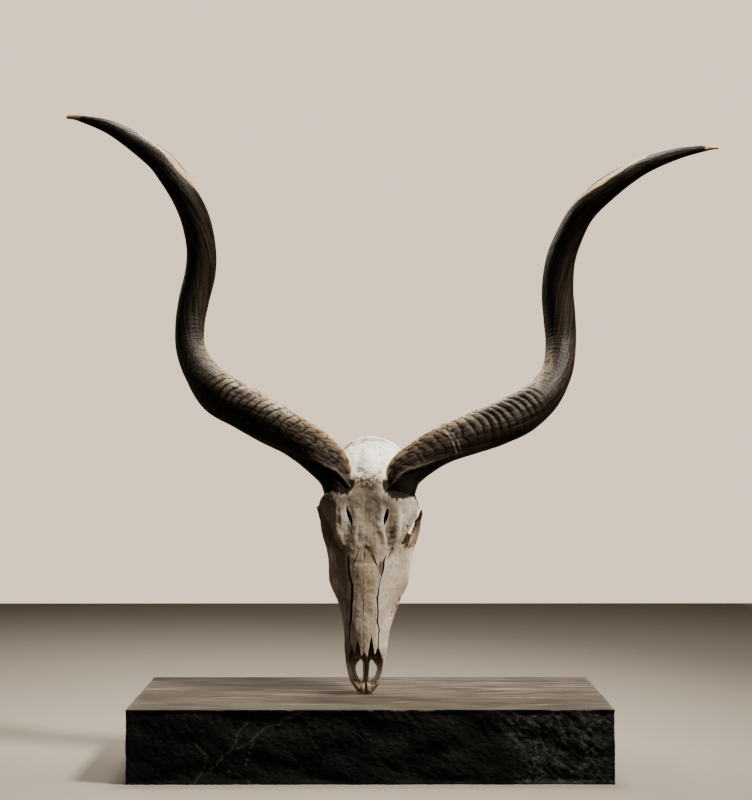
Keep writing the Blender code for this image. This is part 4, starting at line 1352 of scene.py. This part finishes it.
def bone_material():
    bone = Surface("bone_weathered")
    spot = bone.place(1, 1, 1)
    patches = bone.noise(spot, 26, 5)
    blotches = bone.noise(spot, 90, 4, 0.6)
    grain = bone.noise(bone.place(1, 1, 0.1), 420, 4, 0.6)
    specks = bone.noise(spot, 900, 2, 0.5)
    pits = bone.ramp(bone.add("ShaderNodeTexVoronoi", {"Vector": spot, "Scale": 420}), 0.32, 0.16)
    pit_share = bone.plus(bone.times(bone.mask("pitted"), 0.8, True), 0.10)
    # Darker in creases and hollows, and at the small marks.
    hollow_darkening = bone.times(bone.mask("creased"), bone.ramp(blotches, 0.25, 0.6, 0.6, 1.1), True)
    rust = bone.mix((0.085, 0.030, 0.009), (0.17, 0.07, 0.024), (blotches, 0.4, 0.62))
    sheath_and_shadow_colour = bone.mix((0.003, 0.002, 0.0014), (0.02, 0.013, 0.008), (grain, 0.45, 0.7))
    bone.colour = bone.mix((0.43, 0.345, 0.25), (0.63, 0.55, 0.445), (patches, 0.36, 0.62))
    bone.coats(
        ((0.36, 0.27, 0.175), None, (blotches, 0.5, 0.74, 0, 0.6)),
        # Whiter top: paler bone and painted light from above.
        ((0.86, 0.81, 0.72), "whiter_top_and_light", 0.92),
        ((0.58, 0.48, 0.34), None, (blotches, 0.52, 0.72, 0, 0.4)),
        ((0.80, 0.74, 0.64), "worn", 0.5),
        ((0.30, 0.22, 0.135), None, (grain, 0.56, 0.8, 0, 0.5)),
        ((0.22, 0.15, 0.09), None, (specks, 0.66, 0.78, 0, 0.6)),
        ((0.115, 0.075, 0.045), None, bone.times(pits, pit_share, True)),
        ((0.40, 0.27, 0.12), "stained", 0.52),
        (rust, "rusty", 0.85),
        # Painted light in the right eye socket and painted shade on the tip of the nose.
        ((0.18, 0.12, 0.072), "painted_socket_light_and_tip_shade", 0.93),
        # Painted shade.
        ((0.15, 0.108, 0.07), "painted_shade", 0.82),
        # Smoke, with painted shadow under the horns.
        ((0.10, 0.082, 0.064), "smoke_and_painted_shadow", 0.82),
        ((0.040, 0.025, 0.014), "wrinkled", (grain, 0.35, 0.6, 0.55, 1.0)),
        ((0.17, 0.105, 0.058), None, bone.times(hollow_darkening, 0.85, True)),
        # Painted shade in closed-in places.
        ((0.075, 0.042, 0.022), "painted_hollow_shade", 0.93),
        # Dark horn sheath remains and painted shadow under the horns.
        (sheath_and_shadow_colour, "sheath_remains_and_shadow", 0.97),
    )
    height = bone.plus(bone.times(grain, 0.6), bone.times(specks, 0.5))
    height = bone.plus(height, bone.times(blotches, 0.8))
    height = bone.math("SUBTRACT", height, bone.times(pits, pit_share))
    dark = bone.plus(bone.mask("sheath_remains_and_shadow"), bone.mask("wrinkled"), True)
    gloss = bone.ramp(dark, 0, 1, 0.28, 0.02)
    roughness = bone.ramp(patches, 0.3, 0.7, 0.58, 0.72)
    return bone.finish(Roughness=roughness, Normal=bone.bump(height, 0.0012, 0.8), Specular_IOR_Level=gloss)


def marrow_material():
    marrow = Surface("bone_inside")
    crumbs = marrow.noise(marrow.place(1, 1, 1), 260, 4)
    marrow.colour = marrow.mix((0.05, 0.026, 0.012), (0.17, 0.10, 0.05), (crumbs, 0.4, 0.75))
    return marrow.finish(Roughness=0.85, Normal=marrow.bump(crumbs, 0.001, 0.7))


def horn_material():
    horn = Surface("horn_keratin")
    fibres = horn.noise(horn.along_horn(0.03), 0.55, 5, 0.62)
    streaks = horn.noise(horn.along_horn(0.012), 0.22, 4, 0.6)
    flakes = horn.noise(horn.along_horn(0.6), 0.14, 5, 0.65)
    threads = horn.ramp(fibres, 0.36, 0.68)
    horn.colour = horn.mix((0.0036, 0.0028, 0.0022), (0.028, 0.020, 0.014), (streaks, 0.40, 0.68))
    horn.coats(
        ((0.085, 0.060, 0.040), None, (fibres, 0.53, 0.70, 0, 0.6)),
        (horn.mix((0.012, 0.009, 0.006), (0.085, 0.059, 0.036), threads), "sunlit", (flakes, 0.3, 0.65, 0.25, 0.8)),
        # Worn crests with a painted highlight.
        (horn.mix((0.009, 0.006, 0.0045), (0.085, 0.058, 0.039), threads), "crest_and_highlight", 0.8),
        (horn.mix((0.006, 0.004, 0.003), (0.062, 0.041, 0.025), threads), "bark", (flakes, 0.3, 0.6, 0.45, 1.0)),
        # Painted highlight on the bend.
        (horn.mix((0.26, 0.19, 0.12), (0.72, 0.60, 0.41), threads), "tan", (flakes, 0.3, 0.6, 0.5, 1.0)),
        # Pale lumps with a painted highlight.
        (horn.mix((0.30, 0.22, 0.14), (0.82, 0.71, 0.53), threads), "pale_lumps_and_highlight", (flakes, 0.32, 0.55, 0.45, 1.0)),
        (horn.mix((0.16, 0.095, 0.04), (0.62, 0.46, 0.26), threads), "fringe", (fibres, 0.3, 0.55, 0.35, 1.0)),
        # Painted shade in the furrows.
        ((0.007, 0.005, 0.0035), "painted_crease_shade", 0.95),
        ((0.006, 0.0045, 0.003), "under", 0.85),
        ((0.012, 0.008, 0.006), "cracks", 0.9),
        (horn.mix((0.20, 0.125, 0.06), (0.70, 0.52, 0.29), (fibres, 0.34, 0.58)), "cream", 1.0),
        ((0.56, 0.38, 0.20), "tip", 1.0),
        ((0.17, 0.055, 0.014), "amber", 1.0),
        ((0.20, 0.155, 0.115), "keel_line", (flakes, 0.4, 0.6, 0.1, 0.5)),
        ((0.40, 0.33, 0.25), "scars", 0.8),
    )
    dry = horn.plus(horn.mask("bark"), horn.mask("fringe"), True)
    dry = horn.plus(dry, horn.times(horn.mask("sunlit"), 0.5, True), True)
    roughness = horn.plus(horn.ramp(dry, 0, 1, 0.38, 0.78), horn.ramp(streaks, 0.3, 0.7, -0.04, 0.06))
    height = horn.plus(fibres, horn.times(flakes, 0.8))
    gloss = horn.ramp(horn.mask("painted_crease_shade"), 0, 0.8, 0.13, 0.0)
    return horn.finish(Roughness=roughness, Normal=horn.bump(height, 0.0011, 0.8), Specular_IOR_Level=gloss)


def tooth_material():
    tooth = Surface("tooth_enamel")
    stains = tooth.noise(tooth.place(1, 1, 1), 160, 4)
    lines = tooth.noise(tooth.place(1, 0.15, 0.6), 500, 3)
    tooth.colour = tooth.mix((0.62, 0.53, 0.38), (0.78, 0.72, 0.6), (stains, 0.35, 0.65))
    tooth.coats(
        ((0.26, 0.17, 0.09), None, (lines, 0.55, 0.8, 0, 0.7)),
        ((0.20, 0.12, 0.06), "gum", 0.75),
        ((0.09, 0.05, 0.025), "pit", 0.9),
    )
    return tooth.finish(Roughness=tooth.ramp(stains, 0.3, 0.7, 0.25, 0.5), Normal=tooth.bump(lines, 0.0003, 0.6))


def stone_material():
    stone = Surface("stone_slab")
    spot = stone.place(1, 1, 1)
    clouds = stone.noise(spot, 9, 5, 0.6)
    crystals = stone.noise(spot, 700, 3, 0.6)
    streaks = stone.noise(stone.place(0.35, 1, 1), 30, 5, 0.62)
    scratches = stone.noise(stone.place(0.06, 1, 1), 110, 5, 0.65)
    chips = stone.noise(stone.place(1, 1, 1.4), 150, 4, 0.65, 0.6)
    normal = stone.add("ShaderNodeNewGeometry", {}, 1)
    top = stone.ramp(stone.add("ShaderNodeSeparateXYZ", {0: normal}, 2), 0.8, 0.97)
    stone.colour = stone.mix((0.055, 0.045, 0.034), (0.125, 0.103, 0.078), (streaks, 0.35, 0.7))
    stone.coats(
        ((0.27, 0.235, 0.185), None, (scratches, 0.55, 0.65, 0, 0.85)),
        ((0.04, 0.033, 0.025), None, (scratches, 0.45, 0.33, 0, 0.9)),
        ((0.16, 0.145, 0.12), None, (crystals, 0.58, 0.8, 0, 0.35)),
    )
    honed = stone.colour
    stone.colour = stone.mix((0.0024, 0.0027, 0.0022), (0.0095, 0.011, 0.0088), (clouds, 0.35, 0.7))
    stone.coats(
        ((0.028, 0.030, 0.025), None, (chips, 0.56, 0.74, 0, 0.5)),
        ((0.035, 0.036, 0.031), None, (crystals, 0.6, 0.8, 0, 0.5)),
        ((0.055, 0.058, 0.05), "veined", (chips, 0.4, 0.58, 0.35, 1.0)),
        ((0.07, 0.072, 0.064), "rough_patch", (chips, 0.45, 0.62, 0.1, 0.9)),
        (honed, None, top),
        # Chips and the painted highlight of the top edge.
        ((0.13, 0.13, 0.115), "chips_and_edge_highlight", 0.5),
    )
    height = stone.plus(stone.times(crystals, 0.3), chips)
    height = stone.times(height, stone.ramp(top, 0, 1, 1, 0.12))
    gloss = stone.ramp(top, 0, 1, 0.1, 0.35)
    roughness = stone.ramp(top, 0, 1, 0.66, 0.42)
    return stone.finish(Roughness=roughness, Normal=stone.bump(height, 0.0025, 0.8), Specular_IOR_Level=gloss)


def steel_material():
    steel = Surface("pin_steel")
    marks = steel.noise(steel.place(1, 1, 0.03), 900, 3)
    steel.colour = steel.mix((0.10, 0.068, 0.044), (0.24, 0.175, 0.12), (marks, 0.35, 0.7))
    roughness = steel.ramp(marks, 0.3, 0.7, 0.45, 0.6)
    return steel.finish(Roughness=roughness, Normal=steel.bump(marks, 0.0001, 0.4), Metallic=0.4)


def build_floor():
    """A pale floor that fades into plain pale surroundings at its sides and in front."""
    (left, near), (right, far) = FLOOR
    bm = bmesh.new()
    bm.faces.new([bm.verts.new((x, y, 0)) for x, y in ((left, near), (right, near), (right, far), (left, far))])
    paper = Surface("studio_paper")
    spot = paper.place()
    ahead = paper.add("ShaderNodeSeparateXYZ", {0: spot}, 1)
    across = paper.math("ABSOLUTE", paper.add("ShaderNodeSeparateXYZ", {0: spot}, 0), 0.0)
    fade = paper.ramp(paper.math("MAXIMUM", across, paper.times(ahead, -1.0)), *FADE)
    paper.colour = paper.mix(*PAPER, paper.noise(spot, 3, 2))
    paper.coats(((0, 0, 0), None, fade))
    glow = paper.times(fade, BACKDROP_STRENGTH)
    material = paper.finish(Roughness=0.9, Emission_Color=SURROUNDINGS, Emission_Strength=glow)
    floor = new_object("studio_floor", bm, None, material)
    floor.visible_diffuse = floor.visible_glossy = False


def build_studio():
    """The floor, the lamps, the surroundings and the camera."""
    build_floor()
    scene = bpy.context.scene
    for name, spot, target, size, spread_angle, power, tint in LAMPS:
        data = bpy.data.lights.new(name, "AREA")
        data.shape = "SQUARE"
        data.size = size
        data.spread = math.radians(spread_angle)
        data.energy = power
        data.color = tint
        lamp = bpy.data.objects.new(name, data)
        lamp.location = spot
        lamp.rotation_euler = (Vector(target) - Vector(spot)).to_track_quat("-Z", "Y").to_euler()
        scene.collection.objects.link(lamp)

    world = bpy.data.worlds.new("studio")
    world.use_nodes = True
    nodes, links = world.node_tree.nodes, world.node_tree.links
    background = nodes["Background"]
    background.inputs["Color"].default_value = (*SURROUNDINGS, 1)
    seen = nodes.new("ShaderNodeLightPath").outputs["Is Camera Ray"]
    strength = nodes.new("ShaderNodeMapRange")
    strength.inputs["To Min"].default_value = WORLD_STRENGTH
    strength.inputs["To Max"].default_value = BACKDROP_STRENGTH
    links.new(seen, strength.inputs["Value"])
    links.new(strength.outputs[0], background.inputs["Strength"])
    scene.world = world

    data = bpy.data.cameras.new("camera")
    data.lens = CAMERA_LENS
    data.sensor_width = CAMERA_SENSOR
    camera = bpy.data.objects.new("camera", data)
    camera.location = CAMERA_PLACE
    camera.rotation_euler = [math.radians(degrees) for degrees in CAMERA_TURN]
    scene.collection.objects.link(camera)
    scene.camera = camera


skull_frame = bpy.data.objects.new("skull_frame", None)
skull_frame.location = Vector(NOSE_TIP) * MM
skull_frame.rotation_euler = Euler((0, math.radians(SKULL_LEAN), math.radians(SKULL_YAW)))
bpy.context.scene.collection.objects.link(skull_frame)
bpy.context.view_layer.update()

build_skull(bone_material(), marrow_material())
keratin = horn_material()
build_horn("left_horn_sheath", "left_horn", LEFT_HORN, -1, keratin)
build_horn("right_horn_sheath", "right_horn", RIGHT_HORN, 1, keratin)
build_teeth(tooth_material())
build_slab(stone_material())
frame["nodes"]["mounting_pin"].material_slots[0].material = steel_material()
build_studio()
bpy.data.objects.remove(skull_frame)
